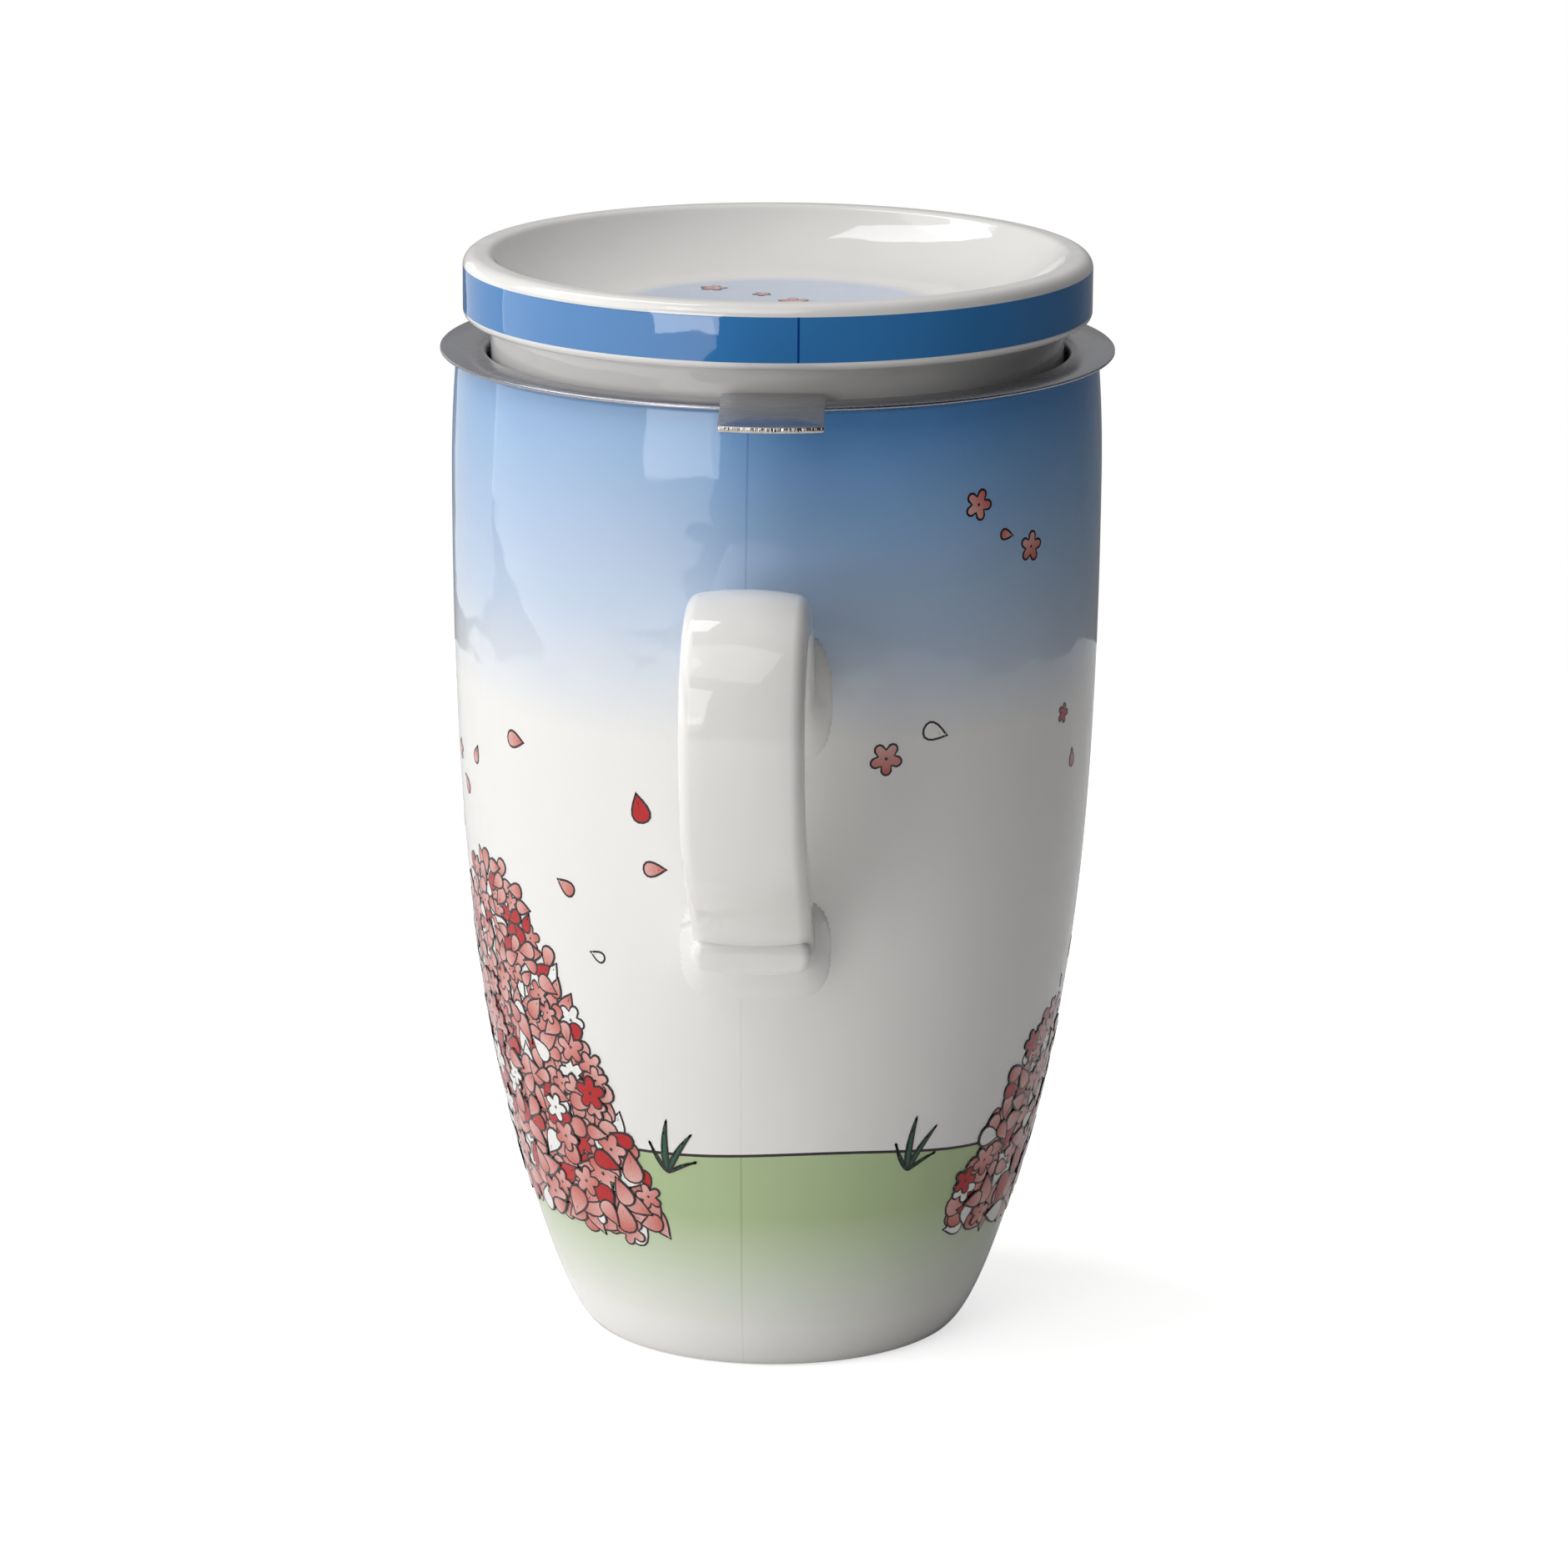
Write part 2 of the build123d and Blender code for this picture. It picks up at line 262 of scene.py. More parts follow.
def rounded_loop(corners, radii, steps=10):
    """Closed outline with an arc at every corner: rounded() from the middle of the last side back to it."""
    corners = [np.array(corner, float) for corner in corners]
    seam = (corners[0] + corners[-1]) / 2
    return rounded([seam, *corners, seam], radii, steps)[:-1]


def tangent_arc(start, end, steps):
    """Arc that leaves start level and passes through end.

    Its centre lies straight over start, at (dr^2 + dz^2) / (2 dz).
    """
    over, up = end[0] - start[0], end[1] - start[1]
    radius = (over**2 + up**2) / (2 * up)
    turn = atan2(over, radius - up)
    swing = np.linspace(0, turn, steps)
    return np.stack((start[0] + radius * np.sin(swing), start[1] + radius * (1 - np.cos(swing))), 1)


def even(outline, count, closed=False, ease=0.0):
    """The outline's points respaced by distance along it.

    The share t of the whole distance is moved to t - ease sin(2 pi t) / (2 pi), which draws the points
    together at the ends.
    """
    loop = np.vstack((outline, outline[:1])) if closed else outline
    along = np.concatenate(([0], np.cumsum(np.linalg.norm(np.diff(loop, axis=0), axis=1))))
    share = np.linspace(0, 1, count, endpoint=not closed)
    places = (share - ease * np.sin(2 * pi * share) / (2 * pi)) * along[-1]
    return np.stack([np.interp(places, along, loop[:, k]) for k in range(loop.shape[1])], 1)


def quads(rows, columns, wrap_rows=False):
    """Quads of a grid whose point (i, j) has index i * columns + j; its columns always close to a ring."""
    i, j = np.meshgrid(np.arange(rows if wrap_rows else rows - 1), np.arange(columns), indexing="ij")
    up, right = (i + 1) % rows, (j + 1) % columns
    corners = (i * columns + j, i * columns + right, up * columns + right, up * columns + j)
    return np.stack(corners, -1).reshape(-1, 4)


def headings(line):
    """Unit headings along an open line."""
    way = np.gradient(line, axis=0)
    return way / np.linalg.norm(way, axis=1, keepdims=True)


def turned(points, angle):
    """Points turned by an angle in the plane of their first two axes: (x cos - y sin, x sin + y cos)."""
    x, y = points[..., 0], points[..., 1]
    c, s = np.cos(angle), np.sin(angle)
    return np.stack((c * x - s * y, s * x + c * y), -1)


def joined(parts):
    """One set of points and faces from several, whose faces count on from the points before them."""
    starts = np.cumsum([0] + [points.size // 3 for points, _ in parts[:-1]])
    faces = np.concatenate([part + start for (_, part), start in zip(parts, starts)])
    return np.concatenate([points.reshape(-1, 3) for points, _ in parts]), faces


def outward_of(loop):
    """Unit normals of a closed counter-clockwise outline, square to the way between a point's neighbours."""
    way = np.roll(loop, -1, 0) - np.roll(loop, 1, 0)
    normal = np.stack((way[:, 1], -way[:, 0]), 1)
    return normal / np.linalg.norm(normal, axis=1, keepdims=True)


def around(radius, bearing, level):
    """Points at a radius, bearing and level: (r sin a, -r cos a, z)."""
    radius, bearing, level = np.broadcast_arrays(radius, bearing, level)
    return np.stack((radius * np.sin(bearing), -radius * np.cos(bearing), level), -1)


def revolve(profile, sectors=SECTORS):
    """Points of a profile of (radius, level) carried round the axis; row i is profile point i."""
    bearings = np.arange(sectors) * 2 * pi / sectors
    return around(profile[:, :1], bearings[None], profile[:, 1:])


def mug_flank():
    """Outer flank as (radius, level) from the foot to the mouth edge.

    Up to the belly it is a quartic Bezier curve; above, the radius falls with the square of the height over
    the belly.
    """
    mug = settings("mug")
    foot, belly = mug.foot_radius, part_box("mug_body")[1].x
    pulls = np.array(
        (
            (foot, mug.foot_bevel),
            (foot + mug.foot_spread, mug.foot_bevel + mug.foot_lift),
            (belly - mug.waist_draw, mug.waist_height),
            (belly, mug.belly_height - mug.belly_ease),
            (belly, mug.belly_height),
        )
    )
    u = np.linspace(0, 1, 161)[:, None]
    weights = (1, 4, 6, 4, 1)
    curve = sum(w * (1 - u) ** (4 - k) * u**k * pulls[k] for k, w in enumerate(weights))
    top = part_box("mug_body")[1].z - mug.mouth_crown
    v = np.linspace(0, 1, 33)[1:, None]
    shoulder = np.hstack((belly - mug.mouth_draw * v**2, mug.belly_height + (top - mug.belly_height) * v))
    return np.vstack((curve, shoulder))


def flank_at(flank, level):
    """Radius of the flank and its lean dr/dz at each level."""
    lean = np.gradient(flank[:, 0], flank[:, 1])
    return np.interp(level, flank[:, 1], flank[:, 0]), np.interp(level, flank[:, 1], lean)


def meadow_level(bearing):
    """Height of the meadow's line: its mean height plus three slow waves round the mug."""
    waves = 1.5 * np.sin(bearing + 0.9) + 1.2 * np.sin(2 * bearing + 2.2) + 0.5 * np.sin(5 * bearing)
    return settings("print").meadow_height + waves * MM


# ---- Meshes --------------------------------------------------------------------------------------
def new_mesh(name, points, faces, materials, kinds=None):
    """Smooth-shaded mesh; kinds tells which of its materials each face has."""
    mesh = bpy.data.meshes.new(name)
    mesh.from_pydata(points.reshape(-1, 3).tolist(), [], faces)
    for material in materials:
        mesh.materials.append(material)
    if kinds is not None:
        mesh.polygons.foreach_set("material_index", np.asarray(kinds, np.int32))
    mesh.polygons.foreach_set("use_smooth", np.ones(len(faces), bool))
    return mesh


def place_piece(mesh, body, stands_for=()):
    """Puts a mesh in the scene at the origin, riding on a body."""
    piece = bpy.data.objects.new(mesh.name, mesh)
    bpy.context.scene.collection.objects.link(piece)
    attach(piece, body)
    if stands_for:
        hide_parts(*stands_for)
    return piece


def add_piece(name, points, faces, materials, body, stands_for, kinds=None):
    """New piece whose coincident points are merged, which closes its seams and poles."""
    mesh = new_mesh(name, points, faces.tolist(), materials, kinds)
    work = bmesh.new()
    work.from_mesh(mesh)
    bmesh.ops.remove_doubles(work, verts=work.verts, dist=1e-7)
    work.to_mesh(mesh)
    work.free()
    mesh.validate()
    return place_piece(mesh, body, stands_for)


def add_attribute(piece, name, values, kind="FLOAT"):
    """Stores one value, or one colour, per point of a piece."""
    attribute = piece.data.attributes.new(name, kind, "POINT")
    field = "value" if kind == "FLOAT" else "color"
    attribute.data.foreach_set(field, np.asarray(values, np.float32).ravel())


# ---- Nodes ---------------------------------------------------------------------------------------
def plug(made, inputs):
    """Links or sets inputs of a node, and returns the node."""
    for name, source in inputs.items():
        if isinstance(source, bpy.types.NodeSocket):
            made.id_data.links.new(source, made.inputs[name])
        else:
            made.inputs[name].default_value = source
    return made


def node(tree, kind, inputs=(), **values):
    """Adds a node, sets its values, and links or sets its inputs."""
    made = tree.nodes.new(kind)
    for name, value in values.items():
        setattr(made, name, value)
    return plug(made, dict(inputs))


def maths(tree, operation, *terms):
    """Result of a math operation on the terms."""
    return node(tree, "ShaderNodeMath", enumerate(terms), operation=operation).outputs[0]


def axes(tree, place):
    """The x, y and z of a place or direction."""
    return node(tree, "ShaderNodeSeparateXYZ", {"Vector": place}).outputs


def noise(tree, place, scale, detail):
    """Noise from 0 to 1 whose features are about 1 / scale long."""
    inputs = {"Vector": place, "Scale": scale, "Detail": detail}
    return node(tree, "ShaderNodeTexNoise", inputs).outputs["Fac"]


def stretched(tree, place, scale):
    """The place scaled along x, y and z, which draws a noise out into streaks."""
    return node(tree, "ShaderNodeMapping", {"Vector": place, "Scale": scale}).outputs["Vector"]


def remap(tree, value, span, result=(0.0, 1.0), shape="LINEAR"):
    """The value carried from a span to a result span, and held at its ends."""
    inputs = dict(zip(("From Min", "From Max", "To Min", "To Max"), (*span, *result)))
    return node(tree, "ShaderNodeMapRange", {"Value": value, **inputs}, interpolation_type=shape).outputs[0]


def mix(tree, factor, first, second, blend="MIX"):
    """Two colours blended by a factor."""
    inputs = {"Factor": factor, 6: first, 7: second}
    return node(tree, "ShaderNodeMix", inputs, data_type="RGBA", blend_type=blend).outputs[2]


def ramp(tree, factor, stops):
    """Colour at a factor on a ramp through (place, colour) stops."""
    made = node(tree, "ShaderNodeValToRGB", {"Fac": factor})
    elements = made.color_ramp.elements
    elements[0].position, elements[0].color = stops[0]
    elements[1].position, elements[1].color = stops[-1]
    for place, shade in stops[1:-1]:
        elements.new(place).color = shade
    return made.outputs["Color"]


def bump(tree, height, distance, **more):
    """Normals of a surface that rises by the distance from height 0 to height 1."""
    inputs = {"Height": height, "Distance": distance, "Strength": 1.0, **more}
    return node(tree, "ShaderNodeBump", inputs).outputs["Normal"]


# ---- Materials -----------------------------------------------------------------------------------
# Those that several pieces share are cached.
def new_material(name):
    """A material with one Principled shader, its node tree, and the Object coordinates in it."""
    material = bpy.data.materials.new(name)
    material.use_nodes = True
    tree = material.node_tree
    return material, tree, node(tree, "ShaderNodeTexCoord").outputs["Object"]


def dress(material, **sockets):
    """Links or sets sockets of the material's shader, and returns the material."""
    shader = material.node_tree.nodes["Principled BSDF"]
    plug(shader, {name.replace("_", " "): source for name, source in sockets.items()})
    return material


def glaze_over(material, place, shade, index=1.5):
    """Dips a shade in clear glaze: waves some 9 mm long left by the slip, and a fine 1.2 mm orange peel."""
    tree = material.node_tree
    waves = bump(tree, noise(tree, place, 110.0, 1.0), 0.2 * MM)
    peel = bump(tree, noise(tree, place, 830.0, 2.0), 0.004 * MM, Normal=waves)
    return dress(material, Base_Color=shade, Roughness=0.04, IOR=index, Normal=peel)


@cache
def plain_glaze():
    """Hard china, slip cast and dipped in clear glaze: white, glossy, slightly wavy reflections."""
    material, _, place = new_material("porcelain, clear glazed")
    return glaze_over(material, place, settings("glaze").china)


def foot_bisque():
    """Bare fired china where the glaze is wiped off the foot ring: matt, slightly grainy, warmer."""
    material, tree, place = new_material("porcelain, unglazed bisque")
    glaze = settings("glaze")
    grain = noise(tree, place, 2500.0, 4.0)
    shade = ramp(tree, grain, ((0.3, glaze.bisque), (0.7, glaze.china)))
    return dress(material, Base_Color=shade, Roughness=0.75, IOR=1.5, Normal=bump(tree, grain, 0.02 * MM))


def seam_line(tree, place, start, slant, width):
    """Mask of the thin overlap where a transfer's ends meet: x = start + slant z on the handle's side."""
    x, y, z = axes(tree, place)
    gap = maths(tree, "SUBTRACT", x, maths(tree, "MULTIPLY_ADD", z, slant, start))
    near = maths(tree, "COMPARE", gap, 0.0, width / 2)
    return maths(tree, "MULTIPLY", near, maths(tree, "LESS_THAN", y, 0.0))


def landscape_glaze():
    """Clear-glazed china over an airbrushed transfer: blue sky fading down, a meadow fading to the foot.

    The sky is a ramp over height, broken by a 0.4 mm airbrush grain and by broad clouds, and paler towards
    -x.
    The meadow is a ramp over height wherever the attribute meadow_gap, the height over the meadow's
    line, is below 0. Where the transfer's ends overlap the shade is laid on double, at about a third.
    """
    material, tree, place = new_material("porcelain, airbrushed under clear glaze")
    glaze = settings("glaze")
    x, _, z = axes(tree, place)
    level = z
    for scale, detail, reach in ((2500.0, 1.0, 1.2 * MM), (24.0, 2.0, 9.0 * MM)):
        level = maths(tree, "MULTIPLY_ADD", noise(tree, place, scale, detail), reach, level)
    sky_foot, sky_head = 97 * MM, 142 * MM
    height = remap(tree, level, (sky_foot, sky_head))
    # The sky is paler towards -x: its share of the ramp runs from 0.7 there to 1.03 towards +x.
    thin, full = 0.7, 1.03
    strength = remap(tree, x, (-16 * MM, 10 * MM), (thin, full), "SMOOTHSTEP")
    shades = (0.0, glaze.china), (0.26, glaze.sky_pale), (0.66, glaze.sky_mid), (1.0, glaze.sky_deep)
    sky = ramp(tree, maths(tree, "MULTIPLY", height, strength), shades)
    meadow_foot, meadow_head = 6 * MM, 25 * MM
    shades = (0.0, glaze.china), (0.45, glaze.meadow_pale), (0.95, glaze.meadow)
    meadow = ramp(tree, remap(tree, z, (meadow_foot, meadow_head)), shades)
    gap = node(tree, "ShaderNodeAttribute", attribute_name="meadow_gap").outputs["Fac"]
    ground = mix(tree, maths(tree, "LESS_THAN", gap, 0.0), sky, meadow)
    seam = seam_line(tree, place, start=-2.3 * MM, slant=0.009, width=0.28 * MM)
    shade = mix(tree, maths(tree, "MULTIPLY", seam, 0.35), ground, ground, "MULTIPLY")
    return glaze_over(material, place, shade)


def stripe_glaze(foot, head):
    """Glazed china with a cobalt stripe between two levels, its ends meeting in a thin seam.

    The lid's glaze is denser than the mug's, so the softboxes stand clearer on the stripe.
    """
    material, tree, place = new_material("porcelain, cobalt stripe under dense glaze")
    glaze = settings("glaze")
    inside = maths(tree, "COMPARE", axes(tree, place)[2], (foot + head) / 2, (head - foot) / 2)
    shade = mix(tree, inside, glaze.china, glaze.stripe)
    seam = seam_line(tree, place, start=5.3 * MM, slant=0.0, width=0.3 * MM)
    shade = mix(tree, maths(tree, "MULTIPLY", seam, inside), shade, shade, "MULTIPLY")
    return glaze_over(material, place, shade, index=1.7)


def disc_glaze(radius):
    """Clear-glazed china with a pale blue airbrushed disc, soft at its edge over 3 mm."""
    material, tree, place = new_material("porcelain, pale disc under clear glaze")
    glaze = settings("glaze")
    flat = node(tree, "ShaderNodeVectorMath", {0: place, 1: (1, 1, 0)}, operation="MULTIPLY").outputs[0]
    reach = node(tree, "ShaderNodeVectorMath", {0: flat}, operation="LENGTH").outputs["Value"]
    edge = remap(tree, reach, (radius - 3 * MM, radius))
    return glaze_over(material, place, ramp(tree, edge, ((0.0, glaze.disc), (1.0, glaze.china))))


@cache
def petal_enamel():
    """Coloured enamel of the printed motifs, fired under the glaze; its shade is the attribute enamel.

    A 0.3 mm stipple breaks the shade up, as the screen of a transfer does.
    """
    material, tree, place = new_material("enamel, screen printed and fired")
    shade = node(tree, "ShaderNodeAttribute", attribute_name="enamel").outputs["Color"]
    stipple = remap(tree, noise(tree, place, 3300.0, 1.0), (0.3, 0.7), (0.94, 1.06))
    stippled = node(tree, "ShaderNodeHueSaturation", {"Color": shade, "Value": stipple})
    return glaze_over(material, place, stippled.outputs["Color"])


@cache
def outline_enamel():
    """Near-black enamel of the printed outlines: as glossy as the glaze round it."""
    material, _, place = new_material("enamel, dark outline")
    return glaze_over(material, place, settings("glaze").ink)


@cache
def brushed_steel():
    """Stainless sheet with a straight brushed finish: dull satin, hair lines 0.15 mm apart along x.

    The hair lines change the roughness and lift the surface by some microns, so that reflections smear.
    """
    material, tree, place = new_material("stainless steel, brushed")
    steel = settings("glaze").steel
    hairs = noise(tree, stretched(tree, place, (90, 6600, 6600)), 1.0, 3.0)
    smudges = noise(tree, place, 60.0, 2.0)
    rough = maths(tree, "MULTIPLY_ADD", smudges, 0.08, remap(tree, hairs, (0.25, 0.75), (0.16, 0.27)))
    darker = (*(0.86 * part for part in steel[:3]), 1.0)
    shade = ramp(tree, hairs, ((0.3, darker), (0.7, steel)))
    relief = bump(tree, hairs, 0.008 * MM, Strength=0.6)
    return dress(material, Base_Color=shade, Metallic=1.0, Roughness=rough, Normal=relief)


def sheared_steel():
    """Edge of the tab as the shear left it: bright vertical streaks 0.7 mm apart, torn and uneven."""
    material, tree, place = new_material("stainless steel, sheared")
    relief = bump(tree, noise(tree, stretched(tree, place, (1500, 1500, 260)), 1.0, 4.0), 0.6 * MM)
    shade = settings("glaze").sheared
    return dress(material, Base_Color=shade, Metallic=1.0, Roughness=0.22, Normal=relief)


# ---- Pieces --------------------------------------------------------------------------------------
class TEAMUG_OT_body(Operator):
    """Mug body: recessed foot, swelling flank, rounded mouth, inner wall and floor as one turned surface"""

    bl_idname = "tea_mug.body"
    bl_label = "Mug body"

    def execute(self, context):
        mug = settings("mug")
        flank = mug_flank()
        recess_radius = mug.foot_radius - mug.foot_ring_width
        recess_head = recess_radius - mug.foot_recess * tan(mug.recess_draft)
        lean = mug.foot_spread / mug.foot_lift
        foot = rounded(
            (
                (0, mug.foot_recess),
                (recess_head, mug.foot_recess),
                (recess_radius, 0),
                (mug.foot_radius - mug.foot_bevel * lean, 0),
                flank[0],
            ),
            (mug.recess_round, mug.recess_round / 2, mug.foot_round),
        )
        # The mouth edge is half an ellipse: the wall wide and the crown high.
        swing = np.linspace(0, pi, 25)[:, None]
        arch = np.hstack((mug.wall / 2 * (np.cos(swing) - 1), mug.mouth_crown * np.sin(swing)))
        mouth = flank[-1] + arch
        # The inner wall is the flank moved in by the wall. A ball of the floor's rounding rolls down it until
        # it lies on the floor, and the profile leaves the wall where the ball touches.
        inner = flank[::-2] - (mug.wall, 0)
        steep = np.gradient(inner[:, 0], inner[:, 1])
        reach = mug.floor_round / np.hypot(1, steep)
        ball = inner + np.stack((-reach, reach * steep), 1)
        floor = mug.foot_recess + mug.floor
        touch = np.argmax(ball[:, 1] < floor + mug.floor_round)
        end = atan2(inner[touch, 1] - ball[touch, 1], inner[touch, 0] - ball[touch, 0])
        turn = np.linspace(end, -pi / 2, 20)[1:, None]
        hollow = ball[touch] + mug.floor_round * np.hstack((np.cos(turn), np.sin(turn)))
        inner = inner[1 : touch + 1]
        profile = np.vstack((foot[:-1], flank, mouth[1:], inner, hollow, [(0, hollow[-1, 1])]))
        faces = quads(len(profile), SECTORS)
        row = np.arange(len(faces)) // SECTORS
        sole = len(foot) - 1
        outside = (row >= sole) & (row < sole + len(flank) + len(mouth) // 2 - 1)
        near = 0.2 * MM
        ring = (profile[row, 1] < near) & (profile[row, 0] > recess_radius - near) & (row <= sole)
        kinds = np.where(outside, 1, np.where(ring, 2, 0))
        materials = (plain_glaze(), landscape_glaze(), foot_bisque())
        points = revolve(profile)
        piece = add_piece("mug_body_china", points, faces, materials, "mug", ["mug_body"], kinds)
        places = np.empty(len(piece.data.vertices) * 3, np.float32)
        piece.data.vertices.foreach_get("co", places)
        x, y, z = places.reshape(-1, 3).T
        add_attribute(piece, "meadow_gap", z - meadow_level(np.arctan2(x, -y)))
        return {"FINISHED"}


def strap_spine():
    """Middle line of the strap as (reach, level) with its heading, from seat to seat.

    It is a straight run, two arcs that turn downwards one after the other, and a straight run in. Its points
    stand closer together at the roots.
    """
    handle = settings("handle")
    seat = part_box("mug_body")[1].x - handle.root_depth
    heading = handle.rise_angle
    start = np.array((seat, handle.start_height))
    top = start + handle.rise_length * np.array((cos(heading), sin(heading)))
    stretches = [np.stack((start, top))]
    for radius, turn in (
        (handle.shoulder_radius, pi / 2 + handle.rise_angle),
        (handle.bow_radius, handle.return_angle),
    ):
        start = stretches[-1][-1]
        centre = start + radius * np.array((sin(heading), -cos(heading)))
        swing = heading + pi / 2 - np.linspace(0, turn, 60)[1:]
        stretches.append(centre + radius * np.stack((np.cos(swing), np.sin(swing)), 1))
        heading -= turn
    start = stretches[-1][-1]
    run = (start[0] - seat) / -cos(heading)
    stretches.append((start + run * np.array((cos(heading), sin(heading))))[None])
    spine = even(np.vstack(stretches), 420, ease=0.8)
    return spine, headings(spine)


def strap_section(width, thickness):
    """Section of the strap: a rectangle with round corners whose outer side bulges by the strap's crown.

    Points along its sides let it spread where it meets the flank. A side under 1 mm has none.
    """
    handle = settings("handle")
    x, y = width / 2, thickness / 2
    shoulder = y - handle.crown
    shares = np.linspace(0.6, -0.6, 13)  # of the half width, between the corners' roundings
    low, high = -y + handle.inner_round, shoulder - handle.edge_round
    side = np.linspace(low, high, 10 if high - low > MM else 2)[1:-1]
    stretches = (
        (handle.inner_round, [(-x, -y)]),
        (0, [(-x * share, -y) for share in shares]),
        (handle.inner_round, [(x, -y)]),
        (0, [(x, level) for level in side]),
        (handle.edge_round, [(x, shoulder)]),
        (0, [(x * share, y - handle.crown * share**2) for share in shares]),
        (handle.edge_round, [(-x, shoulder)]),
        (0, [(-x, level) for level in side[::-1]]),
    )
    corners = [corner for _, stretch in stretches for corner in stretch]
    radii = [radius for radius, stretch in stretches for _ in stretch]
    return rounded_loop(corners, radii, 9)


def clay_bar(spine, tangent, section, spread, flank, inset=0.0):
    """A bar of clay carried along a spine in the plane x = 0 and stuck to the flank.

    A point of the section lies at x across and y along the spine's left normal. Within s of the flank it is
    moved out along the section's own normal by d = s (1 - g / s)^2.5, s being the spread and g the gap
    between the moved point and the flank, which makes a hollow root. d is found by halving the span 0 to s.
    Points deeper than root_bite under the flank are moved back out to that depth. inset draws each row's
    section in, and both ends are closed at their middles.
    """
    bite = settings("handle").root_bite
    outward = outward_of(section)
    normal = np.stack((-tangent[:, 1], tangent[:, 0]), 1)

    def place(shape):
        reach = spine[:, None, 0] + shape[..., 1] * normal[:, None, 0]
        level = spine[:, None, 1] + shape[..., 1] * normal[:, None, 1]
        return np.stack((shape[..., 0] + 0 * reach, -reach, level), -1)

    least = np.zeros((len(spine), len(section)))
    most = np.full_like(least, spread)
    for _ in range(14):  # halvings, which bring the spread's millimetres down to a tenth of a micron
        growth = (least + most) / 2
        points = place(section + growth[..., None] * outward)
        gap = np.hypot(points[..., 0], points[..., 1]) - flank_at(flank, points[..., 2])[0]
        over = growth > spread * np.clip(1 - gap / spread, 0, 2) ** 2.5
        least, most = np.where(over, least, growth), np.where(over, growth, most)
    points = place(section + (growth - np.reshape(inset, (-1, 1)))[..., None] * outward)
    ends = []
    for end in (0, -1):
        middle = points[end].mean(0)
        ends.append(middle + (points[end] - middle) * np.array((0.0, 0.5))[:, None, None])
    points = np.concatenate((ends[0], points, ends[1][::-1]))
    reach = np.hypot(points[..., 0], points[..., 1])
    seat = flank_at(flank, points[..., 2])[0] - bite
    points[..., :2] *= (np.maximum(reach, seat) / reach)[..., None]
    return points


class TEAMUG_OT_handle(Operator):
    """Handle: a crowned strap with roots that flow into the flank, and the stub that its last run lands on"""

    bl_idname = "tea_mug.handle"
    bl_label = "Handle"

    def execute(self, context):
        handle = settings("handle")
        flank = mug_flank()
        section = strap_section(handle.width, handle.thickness)
        strap = clay_bar(*strap_spine(), section, handle.root_spread, flank)
        # The stub is a level bar. Its front edge is a quarter round: over the last stub_round of its length
        # the section is drawn in by stub_round (1 - sin a).
        level = handle.start_height - handle.stub_drop
        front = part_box("mug_body")[1].x + handle.stub_reach
        seat = flank_at(flank, level)[0] - handle.root_bite
        swing = np.linspace(0, pi / 2, 9)
        straight = np.linspace(front - handle.stub_round, seat, 32)[1:]
        reach = np.append(front - handle.stub_round * (1 - np.cos(swing)), straight)
        inset = np.append(handle.stub_round * (1 - np.sin(swing)), 0 * straight)
        spine = np.stack((reach, np.full(len(reach), level)), 1)
        tangent = np.tile((-1.0, 0.0), (len(reach), 1))
        section = strap_section(handle.width, handle.stub_height)
        stub = clay_bar(spine, tangent, section, handle.stub_spread, flank, inset)
        points, faces = joined([(bar, quads(*bar.shape[:2])) for bar in (strap, stub)])
        add_piece("mug_handle_china", points, faces, [plain_glaze()], "mug", ["mug_handle"])
        return {"FINISHED"}


def sheet_section(middle, sheet, bevel):
    """Closed section of a sheet given by its middle line: both faces at half the sheet from it.

    The corners at its two ends are bevelled.
    """
    tangent = headings(middle)
    side = np.stack((tangent[:, 1], -tangent[:, 0]), 1) * sheet / 2
    edge = side * (1 - 2 * bevel / sheet)
    drawn = middle.copy()
    drawn[0] += tangent[0] * bevel
    drawn[-1] -= tangent[-1] * bevel
    far, near = (middle[-1] + edge[-1], middle[-1] - edge[-1]), (middle[0] - edge[0], middle[0] + edge[0])
    return np.vstack((drawn + side, far, (drawn - side)[::-1], near))


class TEAMUG_OT_rim(Operator):
    """Infuser rim: pressed flange, collar, ledge and skirt from one sheet, turned round the axis"""

    bl_idname = "tea_mug.rim"
    bl_label = "Infuser rim"

    def execute(self, context):
        infuser = settings("infuser")
        low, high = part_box("infuser_rim")
        half = infuser.sheet / 2
        collar = high.x - infuser.collar_inset - half
        skirt = collar - infuser.ledge_width
        flange = high.z - half
        ledge = high.z - infuser.ledge_drop - half
        middle = rounded(
            ((high.x, flange), (collar, flange), (collar, ledge), (skirt, ledge), (skirt, low.z)),
            (infuser.bend,) * 3,
        )
        section = sheet_section(middle, infuser.sheet, infuser.edge_round)
        faces = quads(len(section), SECTORS, wrap_rows=True)
        steel = [brushed_steel()]
        add_piece("infuser_rim_steel", revolve(section), faces, steel, "infuser", ["infuser_rim"])
        return {"FINISHED"}


